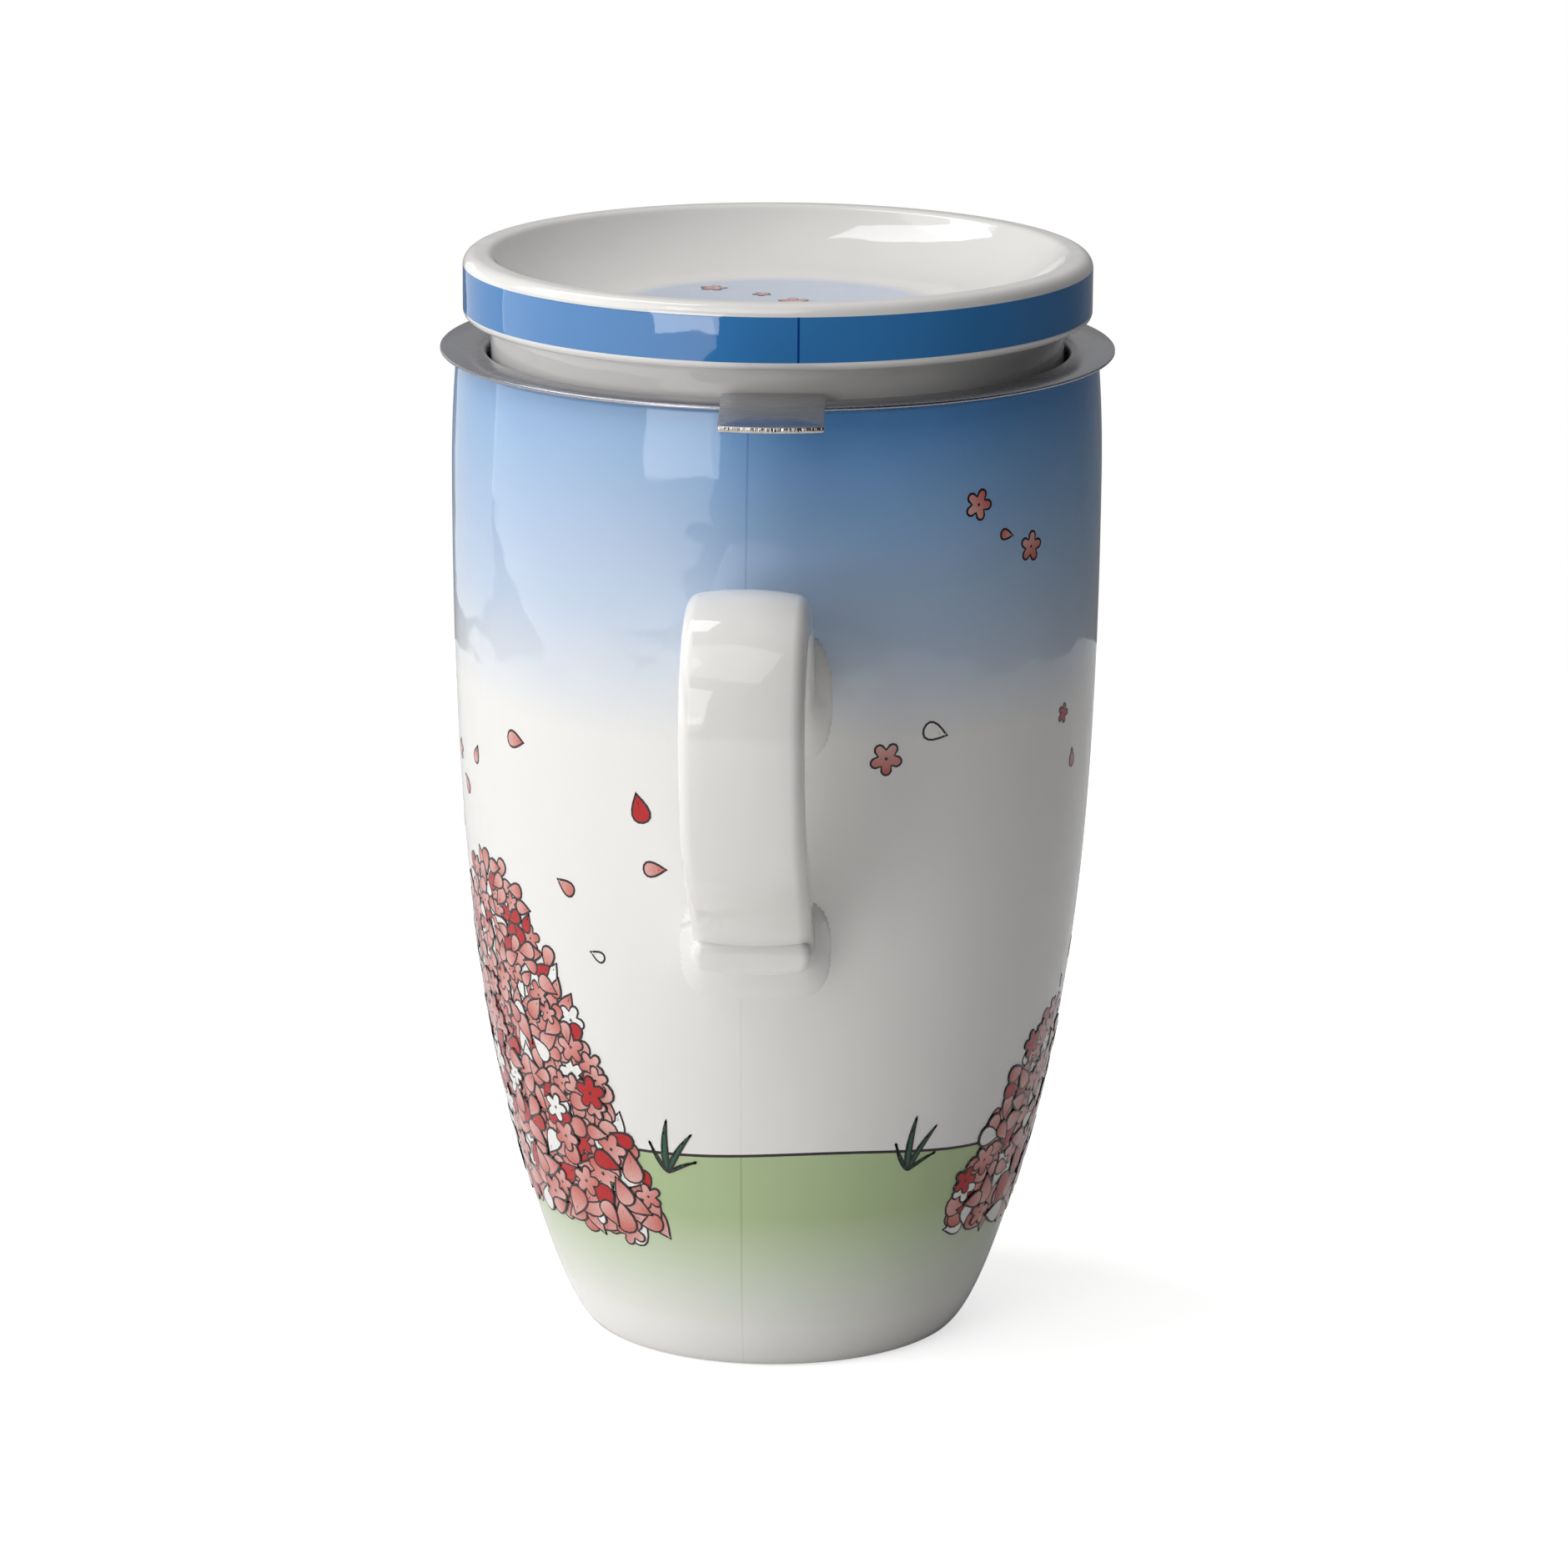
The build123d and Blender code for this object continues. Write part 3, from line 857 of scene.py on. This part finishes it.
def punched_cells(columns, rows, hole_share):
    """Cells of a punched sheet in cell units: a round hole in each cell of a brick-staggered grid.

    A cell's border runs through its 4 corners and the middles of its 4 sides, so that the rows still meet
    when every other row is moved by half a cell. The hole has one point towards each border point. Returns
    border and hole as (row, column, 8, 2) arrays.
    """
    border = np.array(((0, 0), (0.5, 0), (1, 0), (1, 0.5), (1, 1), (0.5, 1), (0, 1), (0, 0.5)), float)
    swing = np.arctan2(border[:, 1] - 0.5, border[:, 0] - 0.5)
    hole = np.stack((0.5 + hole_share / 2 * np.cos(swing), 0.5 + hole_share / 2 * np.sin(swing)), 1)
    row, column = np.meshgrid(np.arange(rows), np.arange(columns), indexing="ij")
    shift = np.stack((column + row % 2 / 2, row), -1)[:, :, None]
    return border + shift, hole + shift


def cell_faces(cells):
    """The 8 quads of each cell between its border and its hole, for points stored cell by cell."""
    step = np.arange(8)
    ring = np.stack((step, (step + 1) % 8, 8 + (step + 1) % 8, 8 + step), 1)
    return (ring + 16 * np.arange(cells)[:, None, None]).reshape(-1, 4)


def thicken(piece, sheet):
    """Gives a surface the thickness of its sheet, to the inside of its faces."""
    solid = piece.modifiers.new("sheet", "SOLIDIFY")
    solid.thickness = sheet
    solid.offset = -1


class TEAMUG_OT_sleeve(Operator):
    """Infuser sleeve: punched sheet rolled to a cylinder, plain at its head and foot"""

    bl_idname = "tea_mug.sleeve"
    bl_label = "Infuser sleeve"

    def execute(self, context):
        infuser = settings("infuser")
        low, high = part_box("infuser_wall")
        radius = high.x
        columns = round(2 * pi * radius / infuser.pitch)
        foot, head = low.z + infuser.plain_foot, high.z - infuser.plain_head
        rows = round((head - foot) / infuser.pitch)
        border, hole = punched_cells(columns, rows, infuser.hole / infuser.pitch)
        cells = np.concatenate((border, hole), 2).reshape(-1, 2)
        bearing = cells[:, 0] * 2 * pi / columns
        level = foot + cells[:, 1] * (head - foot) / rows
        parts = [(around(radius, bearing, level), cell_faces(rows * columns))]
        # Plain bands at the head and foot, with a point for each half cell.
        for shift, (start, end) in ((0, (low.z, foot)), (rows % 2 / 2, (head, high.z))):
            turn = (np.arange(2 * columns) / 2 + shift) * 2 * pi / columns
            parts.append((around(radius, turn[None], np.array(((start,), (end,)))), quads(2, 2 * columns)))
        points, faces = joined(parts)
        steel = [brushed_steel()]
        piece = add_piece("infuser_sleeve_steel", points, faces, steel, "infuser", ["infuser_wall"])
        thicken(piece, infuser.mesh_sheet)
        return {"FINISHED"}


class TEAMUG_OT_base(Operator):
    """Infuser base: shallow cap with rings of holes, its lip bent up round the foot of the sleeve"""

    bl_idname = "tea_mug.base"
    bl_label = "Infuser base"

    def execute(self, context):
        infuser = settings("infuser")
        low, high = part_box("infuser_base")
        # Zones of cells, each with its count round the axis, twice that of the zone inside it, and its inner
        # and outer radius in mm.
        zones = ((12, 1.9, 4.05), (24, 4.05, 8.35), (48, 8.35, 16.95), (96, 16.95, 30.1))
        parts = []
        for count, inner, outer in zones:
            rows = max(1, round((outer - inner) * MM / infuser.pitch))
            border, hole = punched_cells(count, rows, 1)
            middle = hole.mean(2, keepdims=True)
            radius = (inner + (outer - inner) * middle[..., 1] / rows) * MM
            turn = 2 * pi / count
            # The hole stays round: its arms are scaled by the hole's real size on the disc.
            arms = (hole - middle) * infuser.hole
            hole_radius = radius + arms[..., 1]
            hole_bearing = middle[..., 0] * turn + arms[..., 0] / radius
            border_radius = (inner + (outer - inner) * border[..., 1] / rows) * MM
            border_bearing = border[..., 0] * turn
            reach = np.concatenate((border_radius, hole_radius), 2).ravel()
            bearing = np.concatenate((border_bearing, hole_bearing), 2).ravel()
            parts.append((around(reach, bearing, low.z), cell_faces(rows * count)))
        # The hub closes the middle, and the lip goes on from the outermost ring.
        last = zones[-1][2] * MM
        corner = infuser.base_bend + infuser.mesh_sheet / 2
        lip = rounded(((last, low.z), (high.x, low.z), (high.x, high.z)), (corner,), 6)
        hub = np.array(((0, low.z), (zones[0][1] * MM, low.z)))
        for profile, sectors in ((hub, 2 * zones[0][0]), (lip, 2 * zones[-1][0])):
            parts.append((revolve(profile, sectors), quads(len(profile), sectors)))
        points, faces = joined(parts)
        steel = [brushed_steel()]
        piece = add_piece("infuser_base_steel", points, faces, steel, "infuser", ["infuser_base"])
        thicken(piece, infuser.mesh_sheet)
        return {"FINISHED"}


class TEAMUG_OT_tab(Operator):
    """Grab tab: sheared plate with a bulging front, its top edge rolled over by the shear"""

    bl_idname = "tea_mug.tab"
    bl_label = "Grab tab"

    def execute(self, context):
        infuser = settings("infuser")
        low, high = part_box("infuser_tab")
        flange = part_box("infuser_rim")[1].x
        back, front = flange - infuser.tab_overlap, flange + infuser.tab_reach
        side = infuser.tab_width / 2
        # The front edge is an arc through its bulge; its points stand between the plate's front corners.
        share = np.linspace(-1, 1, 33)[:, None]
        bulge = np.hstack((share * side, -(front - infuser.tab_bulge * share**2)))
        outline = np.vstack(([(side, -back), (-side, -back)], bulge))
        corner = infuser.tab_corner
        sharp = (0,) * (len(bulge) - 2)
        loop = even(rounded_loop(outline, (corner, corner, corner, *sharp, corner), 5), 360, closed=True)
        outward = outward_of(loop)
        droop, burr = infuser.tab_droop, infuser.tab_burr
        # Rings from the middle of the underside, out, up the sheared edge, over the droop and in again.
        swing = np.linspace(0, pi / 2, 7)
        insets = (burr, 0, 0, *(droop * (1 - np.cos(swing))))
        rounding = high.z - droop * (1 - np.sin(swing))
        levels = (low.z, low.z, low.z + burr, (low.z + high.z) / 2, *rounding, high.z)
        middle = np.broadcast_to((0, -(back + front) / 2), loop.shape)
        rings = np.array([middle, *(loop - outward * inset for inset in insets), middle])
        x, y = np.moveaxis(turned(rings, infuser.tab_turn), -1, 0)
        points = np.stack(np.broadcast_arrays(x, y, np.array(levels)[:, None]), -1)
        faces = quads(len(rings), len(loop))
        row = np.arange(len(faces)) // len(loop)
        kinds = (row >= 2) & (row <= 4)  # the sheared edge
        materials = (brushed_steel(), sheared_steel())
        add_piece("infuser_tab_steel", points, faces, materials, "infuser", ["infuser_tab"], kinds)
        return {"FINISHED"}


class TEAMUG_OT_lid(Operator):
    """Lid: shallow dish with a rolled rim, outer band with its stripe, and the neck that fits the collar"""

    bl_idname = "tea_mug.lid"
    bl_label = "Lid"

    def execute(self, context):
        lid = settings("lid")
        low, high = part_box("lid")
        band = high.x
        neck = band - lid.neck_inset
        bore = neck - lid.neck_wall
        band_foot = high.z - lid.band_height
        dish_edge = band - lid.rim_width
        dish_floor = dish_edge - lid.slope_width
        dish_level = high.z - lid.dish_depth
        under_level = dish_level - lid.dish_wall
        under = tangent_arc((dish_floor, under_level), (bore, under_level + lid.under_rise), 24)
        dish = tangent_arc((dish_floor, dish_level), (dish_edge, high.z), 40)
        outer = rounded(
            (
                under[-1],
                (bore, low.z),
                (neck, low.z),
                (neck, band_foot),
                (band, band_foot),
                (band, high.z),
                (dish_edge, high.z),
                dish[-4],
            ),
            (*(lid.neck_round,) * 2, lid.cove, lid.shoulder_round, lid.rim_round, lid.rim_round * 0.8),
        )
        # The rim's rounding takes the place of the last three points of the dish.
        dish = dish[:-3][::-1]
        profile = np.vstack(([(0, under_level)], under[:-1], outer[:-1], dish, [(0, dish_level)]))
        faces = quads(len(profile), SECTORS)
        row = np.arange(len(faces)) // SECTORS
        middle = (profile[row] + profile[row + 1]) / 2
        striped = (middle[:, 0] > band - 0.3 * MM) & (middle[:, 1] > band_foot)
        dished = row >= len(profile) - len(dish) - 1
        kinds = np.where(striped, 1, np.where(dished, 2, 0))
        stripe_foot = band_foot + lid.stripe_foot
        stripe = stripe_glaze(stripe_foot, stripe_foot + lid.stripe_height)
        materials = (plain_glaze(), stripe, disc_glaze(lid.disc_radius))
        add_piece("lid_china", revolve(profile), faces, materials, "lid", ["lid"], kinds)
        return {"FINISHED"}


# ---- Printed motifs ------------------------------------------------------------------------------
def blossom_outline():
    """Five round petals, counter-clockwise: radius 0.56 + 0.44 |cos 2.5 a|^0.75 round the middle."""
    a = np.arange(30) * 2 * pi / 30
    reach = 0.56 + 0.44 * np.abs(np.cos(2.5 * a)) ** 0.75
    return np.stack((-reach * np.sin(a), reach * np.cos(a)), 1)


def petal_outline():
    """A fallen petal, counter-clockwise, pointed at its head; its half width is 0.86 sin a sin(a / 2)^1.3."""
    a = np.arange(16) * 2 * pi / 16
    return np.stack((-0.86 * np.sin(a) * np.sin(a / 2) ** 1.3, np.cos(a) * 0.95 + 0.05), 1)


def leaf_outline():
    """A blade of grass, counter-clockwise: it is widest below its middle and bent to x = 0.1 (1 + y)^2."""
    a = np.arange(16) * 2 * pi / 16
    y = np.cos(a)
    return np.stack((-0.13 * np.sin(a) * (1 - 0.35 * y) + 0.1 * (1 + y) ** 2, y), 1)


# The outline of each motif, and the share of it that its core takes up.
MOTIFS = {"blossom": (blossom_outline, 0.14), "petal": (petal_outline, 0.35), "leaf": (leaf_outline, 0.5)}


def stack_layers(places, sizes):
    """Layer of each motif: one more than the highest earlier motif that it overlaps."""
    layers = np.zeros(len(places), int)
    for k in range(1, len(places)):
        near = np.linalg.norm(places[:k] - places[k], axis=1) < (sizes[:k] + sizes[k]) * 0.95
        if near.any():
            layers[k] = layers[:k][near].max() + 1
    return layers


def motif_pads(kind, centres, sizes, turns, layers, shades, surface):
    """Thin closed enamel pads of one kind, laid on a surface.

    A pad's rings are a core of the motif's outline, the inner and outer side of its dark line, and the outer
    side again under the glaze; a face closes it at the top and one at the bottom. shades holds the colours at
    the foot and the head of each motif, mixed by height within it. Returns points, normals, colours, faces
    and which faces are dark.
    """
    design = settings("print")
    draw_outline, core = MOTIFS[kind]
    outline = draw_outline()
    outward = outward_of(outline)
    count, steps = len(centres), len(outline)
    sizes = sizes[:, None, None]
    line = outline * sizes
    inner = line - outward * np.minimum(design.outline, 0.2 * sizes)
    rings = np.stack((inner * core, inner, line, line), 1)
    laid = turned(rings, turns[:, None, None])
    height = design.lift + layers[:, None, None] * design.layer
    lift = height * np.ones((count, 4, steps))
    lift[:, 2] -= design.layer
    lift[:, 3] = -design.lift
    points, normals = surface(centres[:, None, None], laid, lift)
    share = (rings[..., 1] / sizes * 0.5 + 0.5).clip(0, 1)[..., None]
    colours = shades[:, 0, None, None] * (1 - share) + shades[:, 1, None, None] * share
    first = 4 * steps * np.arange(count)[:, None]
    ring_faces = quads(4, steps)[:, ::-1]
    faces = (ring_faces + first[..., None]).reshape(-1, 4).tolist()
    faces += (np.arange(steps) + first).tolist()
    faces += (np.arange(4 * steps, 3 * steps, -1) - 1 + first).tolist()
    dark = [*np.tile(np.arange(len(ring_faces)) // steps >= 1, count)]
    dark += [kind == "blossom"] * count + [True] * count
    return points.reshape(-1, 3), normals.reshape(-1, 3), colours.reshape(-1, 4), faces, dark


def add_print(name, groups, body):
    """Joins groups of pads into one piece, coloured by point and shaded with the surface's own normals."""
    points, normals, colours = (np.vstack([group[k] for group in groups]) for k in range(3))
    faces, dark, start = [], [], 0
    for group in groups:
        faces += [[start + corner for corner in face] for face in group[3]]
        dark += group[4]
        start += len(group[0])
    mesh = new_mesh(name, points, faces, (petal_enamel(), outline_enamel()), dark)
    mesh.normals_split_custom_set_from_vertices(normals.tolist())
    add_attribute(place_piece(mesh, body), "enamel", colours, "FLOAT_COLOR")


def flank_surface(flank):
    """Lays flat shapes on the flank: across is an arc at its radius, and up is distance along it."""

    def surface(centres, laid, lift):
        lean = flank_at(flank, centres[..., 1])[1]
        level = centres[..., 1] + laid[..., 1] / np.hypot(1, lean)
        radius, lean = flank_at(flank, level)
        bearing = centres[..., 0] + laid[..., 0] / radius
        stretch = np.hypot(1, lean)
        points = around(radius + lift / stretch, bearing, level - lift * lean / stretch)
        return points, around(1 / stretch, bearing, -lean / stretch)

    return surface


def dish_surface(level):
    """Lays flat shapes on the level dish floor."""

    def surface(centres, laid, lift):
        points = np.stack((centres[..., 0] + laid[..., 0], centres[..., 1] + laid[..., 1], level + lift), -1)
        return points, np.broadcast_to((0.0, 0.0, 1.0), points.shape)

    return surface


def draw_tones(rng, count):
    """Foot and head colours of each motif: most are shaded rose, some solid red, some white."""
    glaze = settings("glaze")
    tones = np.array(
        (
            (glaze.blush[:], glaze.rose[:]),
            (glaze.rose[:], glaze.blush[:]),
            (glaze.red[:], glaze.red[:]),
            (glaze.china[:], glaze.china[:]),
        )
    )
    return tones[rng.choice(4, count, p=(0.46, 0.24, 0.16, 0.14))]


def flower_bed(rng, middle, half_width, foot, height, count):
    """Places (bearing, level) and sizes of the motifs of one flower bed.

    The bed is a mound whose top falls off with the cosine of the distance from its middle. The places are
    those of an even scatter, the steps of which are powers of 0.7549, that lie under that top. The motifs
    grow from its top to its foot.
    """
    step = np.arange(1, 2 * count + 1)
    across, rise = step * 0.7549 % 1 * 2 - 1, step * 0.5698 % 1
    top = np.cos(across * pi / 2) ** 0.8
    under = np.flatnonzero(rise < top)[:count]
    across, rise = across[under], rise[under]
    order = rng.permutation(len(under))
    size = rng.uniform(1.5, 2.1, len(under)) * (1.5 - 0.5 * rise) * MM
    places = np.stack((middle + across * half_width, foot + rise * height), 1)
    return places[order], size[order]


# Of each flower bed: bearings of its middle and half width, level of its foot, height, and count of motifs.
BEDS = (
    (radians(-62), radians(40), 20 * MM, 50 * MM, 430),
    (radians(76), radians(30), 18 * MM, 30 * MM, 190),
    (radians(178), radians(38), 19 * MM, 38 * MM, 260),
)


class TEAMUG_OT_print(Operator):
    """Printed motifs: flower beds on the meadow, drifting blossoms and petals, grass, the meadow's line"""

    bl_idname = "tea_mug.print"
    bl_label = "Printed motifs"

    def execute(self, context):
        rng = np.random.default_rng(settings("print").seed)
        flank = mug_flank()
        surface = flank_surface(flank)
        beds = [flower_bed(rng, *bed) for bed in BEDS] + [self.drift(rng)]
        places = np.vstack([bed[0] for bed in beds])
        sizes = np.concatenate([bed[1] for bed in beds])
        flat = np.stack((places[:, 0] * flank_at(flank, places[:, 1])[0], places[:, 1]), 1)
        layers = stack_layers(flat, sizes)
        turns = rng.uniform(-pi, pi, len(places))
        tones = draw_tones(rng, len(places))
        kinds = rng.choice(2, len(places), p=(0.2, 0.8))
        groups = [self.grass(surface), self.meadow_edge(surface)]
        for index, kind in enumerate(("blossom", "petal")):
            chosen = kinds == index
            listed = (places[chosen], sizes[chosen], turns[chosen], layers[chosen], tones[chosen])
            groups.append(motif_pads(kind, *listed, surface))
        add_print("mug_print", groups, "mug")
        return {"FINISHED"}

    def drift(self, rng):
        """Blossoms and petals carried on the wind: evenly spaced bearings on two slow waves, jittered.

        The waves swing 20 mm to both sides of a height of 78 mm, and the jitter adds up to 34 mm.
        """
        count = 46
        bearing = np.linspace(-pi, pi, count, endpoint=False) + rng.uniform(-0.05, 0.05, count)
        wave = 78 + 20 * np.sin(bearing * 2 + 1.0) + rng.uniform(-34, 34, count)
        clear = np.abs(bearing) > radians(17)  # of the handle
        size = rng.uniform(1.1, 2.7, count)
        return np.stack((bearing, wave * MM), 1)[clear], size[clear] * MM

    def grass(self, surface):
        """Tufts of four fanned blades along the meadow's line."""
        tufts = radians(1) * np.array((-19, 33, 118, -118))
        fan = radians(1) * np.array((38, 8, -20, -52))
        size = np.array((2.6, 4.1, 3.7, 2.4)) * MM
        radius, sink = 37 * MM, 3 * MM
        bearing = tufts[:, None] - size * np.sin(fan) / radius
        level = meadow_level(tufts)[:, None] - sink + size * np.cos(fan)
        places = np.stack((bearing, level), -1).reshape(-1, 2)
        sizes, turns, layers = (np.tile(row, len(tufts)) for row in (size, fan, (1, 4, 3, 2)))
        blade = settings("glaze").leaf[:]
        tones = np.tile((blade, blade), (len(places), 1, 1))
        return motif_pads("leaf", places, sizes, turns, layers, tones, surface)

    def meadow_edge(self, surface):
        """Dark line along the top of the meadow: a closed ribbon round the mug, with a bevelled face."""
        design = settings("print")
        count = 3 * SECTORS
        bearing = np.arange(count) * 2 * pi / count
        across = np.array((-0.5, -0.3, 0.3, 0.5, 0.5, -0.5)) * design.meadow_line
        centres = np.stack(np.broadcast_arrays(bearing, meadow_level(bearing) + across[:, None]), -1)
        raised = np.array((0, 1, 1, 0, -4, -4))[:, None] * design.layer
        points, normals = surface(centres, np.zeros((6, count, 2)), raised * np.ones(count))
        faces = quads(6, count, wrap_rows=True).tolist()
        colours = np.tile(settings("glaze").ink[:], (6 * count, 1))
        return points.reshape(-1, 3), normals.reshape(-1, 3), colours, faces, [True] * len(faces)


class TEAMUG_OT_dish_print(Operator):
    """Blossoms on the dish floor of the lid"""

    bl_idname = "tea_mug.dish_print"
    bl_label = "Dish blossoms"

    def execute(self, context):
        rng = np.random.default_rng(settings("print").seed + 1)
        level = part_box("lid")[1].z - settings("lid").dish_depth
        bearing = np.array((12, 80, 158, 196, 215, 290, 330)) * radians(1)
        reach = np.array((9, 14, 5, 10, 17, 10, 16)) * MM
        places = np.stack((reach * np.sin(bearing), -reach * np.cos(bearing)), 1)
        sizes = np.array((2.2, 1.6, 2.2, 1.4, 2.0, 1.4, 2.3)) * MM
        turns = rng.uniform(-pi, pi, len(places))
        layers = np.zeros(len(places), int)
        tones = draw_tones(rng, len(places))
        pads = motif_pads("blossom", places, sizes, turns, layers, tones, dish_surface(level))
        add_print("lid_print", [pads], "lid")
        return {"FINISHED"}


# ---- Studio --------------------------------------------------------------------------------------
WHITE = (1, 1, 1, 1)
LAMP_TARGET = 75 * MM  # height on the axis that the softboxes face

# Of each softbox: name, bearing, elevation, metres to the target, width and height, and its face's radiance.
SOFTBOXES = (
    ("key_softbox", radians(-28.5), radians(14), 0.48, 0.21, 0.25, 3.0),
    ("low_softbox", radians(-66), radians(-3), 0.62, 1.35, 0.2, 1.35),
    ("side_softbox", radians(-134), radians(4), 0.9, 0.7, 0.5, 0.65),
    ("overhead_softbox", radians(-118), radians(60), 1.0, 0.25, 0.6, 4.2),
    ("high_softbox", radians(-80), radians(42), 1.3, 1.5, 1.0, 1.65),
    ("front_softbox", radians(-18), radians(56), 1.3, 0.9, 0.8, 1.5),
)


def add_softbox(name, bearing, elevation, distance, width, height, radiance):
    """Rectangular lamp that faces the target."""
    lamp = bpy.data.lights.new(name, "AREA")
    lamp.shape = "RECTANGLE"
    lamp.size, lamp.size_y = width, height
    lamp.energy = radiance * width * height * pi
    softbox = bpy.data.objects.new(name, lamp)
    way = Vector(around(cos(elevation), bearing, sin(elevation)))
    softbox.location = Vector((0, 0, LAMP_TARGET)) + way * distance
    softbox.rotation_euler = way.to_track_quat("Z", "Y").to_euler()
    bpy.context.scene.collection.objects.link(softbox)


def add_camera():
    """Camera in front of the handle and a little over the lid."""
    studio = settings("studio")
    data = bpy.data.cameras.new("camera")
    data.lens = studio.lens
    data.sensor_width = 36
    camera = bpy.data.objects.new("camera", data)
    camera.location = around(studio.camera_distance, studio.camera_bearing, studio.camera_height).tolist()
    turn = studio.camera_bearing + studio.camera_pan
    camera.rotation_euler = Euler((studio.camera_tilt, 0, turn), "XYZ")
    camera.rotation_euler.rotate_axis("Z", studio.camera_roll)
    scene = bpy.context.scene
    scene.collection.objects.link(camera)
    scene.camera = camera
    scene.view_settings.view_transform = "Standard"


def add_floor():
    """A white disc. Its face adds enough light of its own to camera rays to be white outside the shadow."""
    radius, sink, glow, sectors = 0.42, 0.2 * MM, 0.66, 96
    material, tree, _ = new_material("studio floor, white laminate")
    seen = node(tree, "ShaderNodeLightPath").outputs["Is Camera Ray"]
    dress(
        material,
        Base_Color=linear("#F2F2F2"),
        Roughness=0.6,
        Emission_Color=WHITE,
        Emission_Strength=maths(tree, "MULTIPLY", seen, glow),
    )
    disc = revolve(np.array(((0, -sink), (radius, -sink))), sectors)
    mesh = new_mesh("floor", disc, quads(2, sectors)[:, ::-1].tolist(), [material])
    floor = bpy.data.objects.new("floor", mesh)
    bpy.context.scene.collection.objects.link(floor)


def light_world():
    """White to the camera; to other rays a room that is dim in front and brightest high behind the mug."""
    world = bpy.data.worlds.new("studio room")
    world.use_nodes = True
    bpy.context.scene.world = world
    tree = world.node_tree
    tree.nodes.clear()
    _, y, z = axes(tree, node(tree, "ShaderNodeTexCoord").outputs["Generated"])
    front, back, crown = 0.03, 0.09, 0.3
    depth = remap(tree, y, (-0.3, 0.3), (front, back), "SMOOTHSTEP")
    lift = remap(tree, maths(tree, "ADD", y, z), (0.5, 1.25), (0.0, crown), "SMOOTHSTEP")
    seen = node(tree, "ShaderNodeLightPath").outputs["Is Camera Ray"]
    strength = node(tree, "ShaderNodeMix", {"Factor": seen, 2: maths(tree, "ADD", depth, lift), 3: 1.0})
    background = node(tree, "ShaderNodeBackground", {"Color": WHITE, "Strength": strength.outputs[0]})
    node(tree, "ShaderNodeOutputWorld", {"Surface": background.outputs["Background"]})


class TEAMUG_OT_stage(Operator):
    """Camera, softboxes, white surround and the floor that keeps the mug's shadow"""

    bl_idname = "tea_mug.stage"
    bl_label = "Stage"

    def execute(self, context):
        add_camera()
        add_floor()
        light_world()
        for softbox in SOFTBOXES:
            add_softbox(*softbox)
        return {"FINISHED"}


PIECES = (
    TEAMUG_OT_body,
    TEAMUG_OT_handle,
    TEAMUG_OT_rim,
    TEAMUG_OT_sleeve,
    TEAMUG_OT_base,
    TEAMUG_OT_tab,
    TEAMUG_OT_lid,
    TEAMUG_OT_print,
    TEAMUG_OT_dish_print,
    TEAMUG_OT_stage,
)


class TEAMUG_PT_pieces(Panel):
    """Lists the pieces of the tea mug, in the order in which they are made"""

    bl_idname = "TEAMUG_PT_pieces"
    bl_label = "Tea mug"
    bl_space_type = "VIEW_3D"
    bl_region_type = "UI"
    bl_category = "Tea mug"

    def draw(self, context):
        for piece in PIECES:
            self.layout.operator(piece.bl_idname)


def register():
    """Registers the property groups, the operators and the panel."""
    for group in GROUPS.values():
        bpy.utils.register_class(group)
    for name, group in GROUPS.items():
        setattr(bpy.types.Scene, f"tea_mug_{name}", PointerProperty(type=group))
    for kind in (*PIECES, TEAMUG_PT_pieces):
        bpy.utils.register_class(kind)


def unregister():
    """Takes out what register() put in, last things first."""
    for kind in (TEAMUG_PT_pieces, *reversed(PIECES)):
        bpy.utils.unregister_class(kind)
    for name, group in GROUPS.items():
        delattr(bpy.types.Scene, f"tea_mug_{name}")
        bpy.utils.unregister_class(group)


def main():
    """Makes every piece in order."""
    register()
    for piece in PIECES:
        family, name = piece.bl_idname.split(".")
        getattr(getattr(bpy.ops, family), name)()


if __name__ == "__main__":
    main()
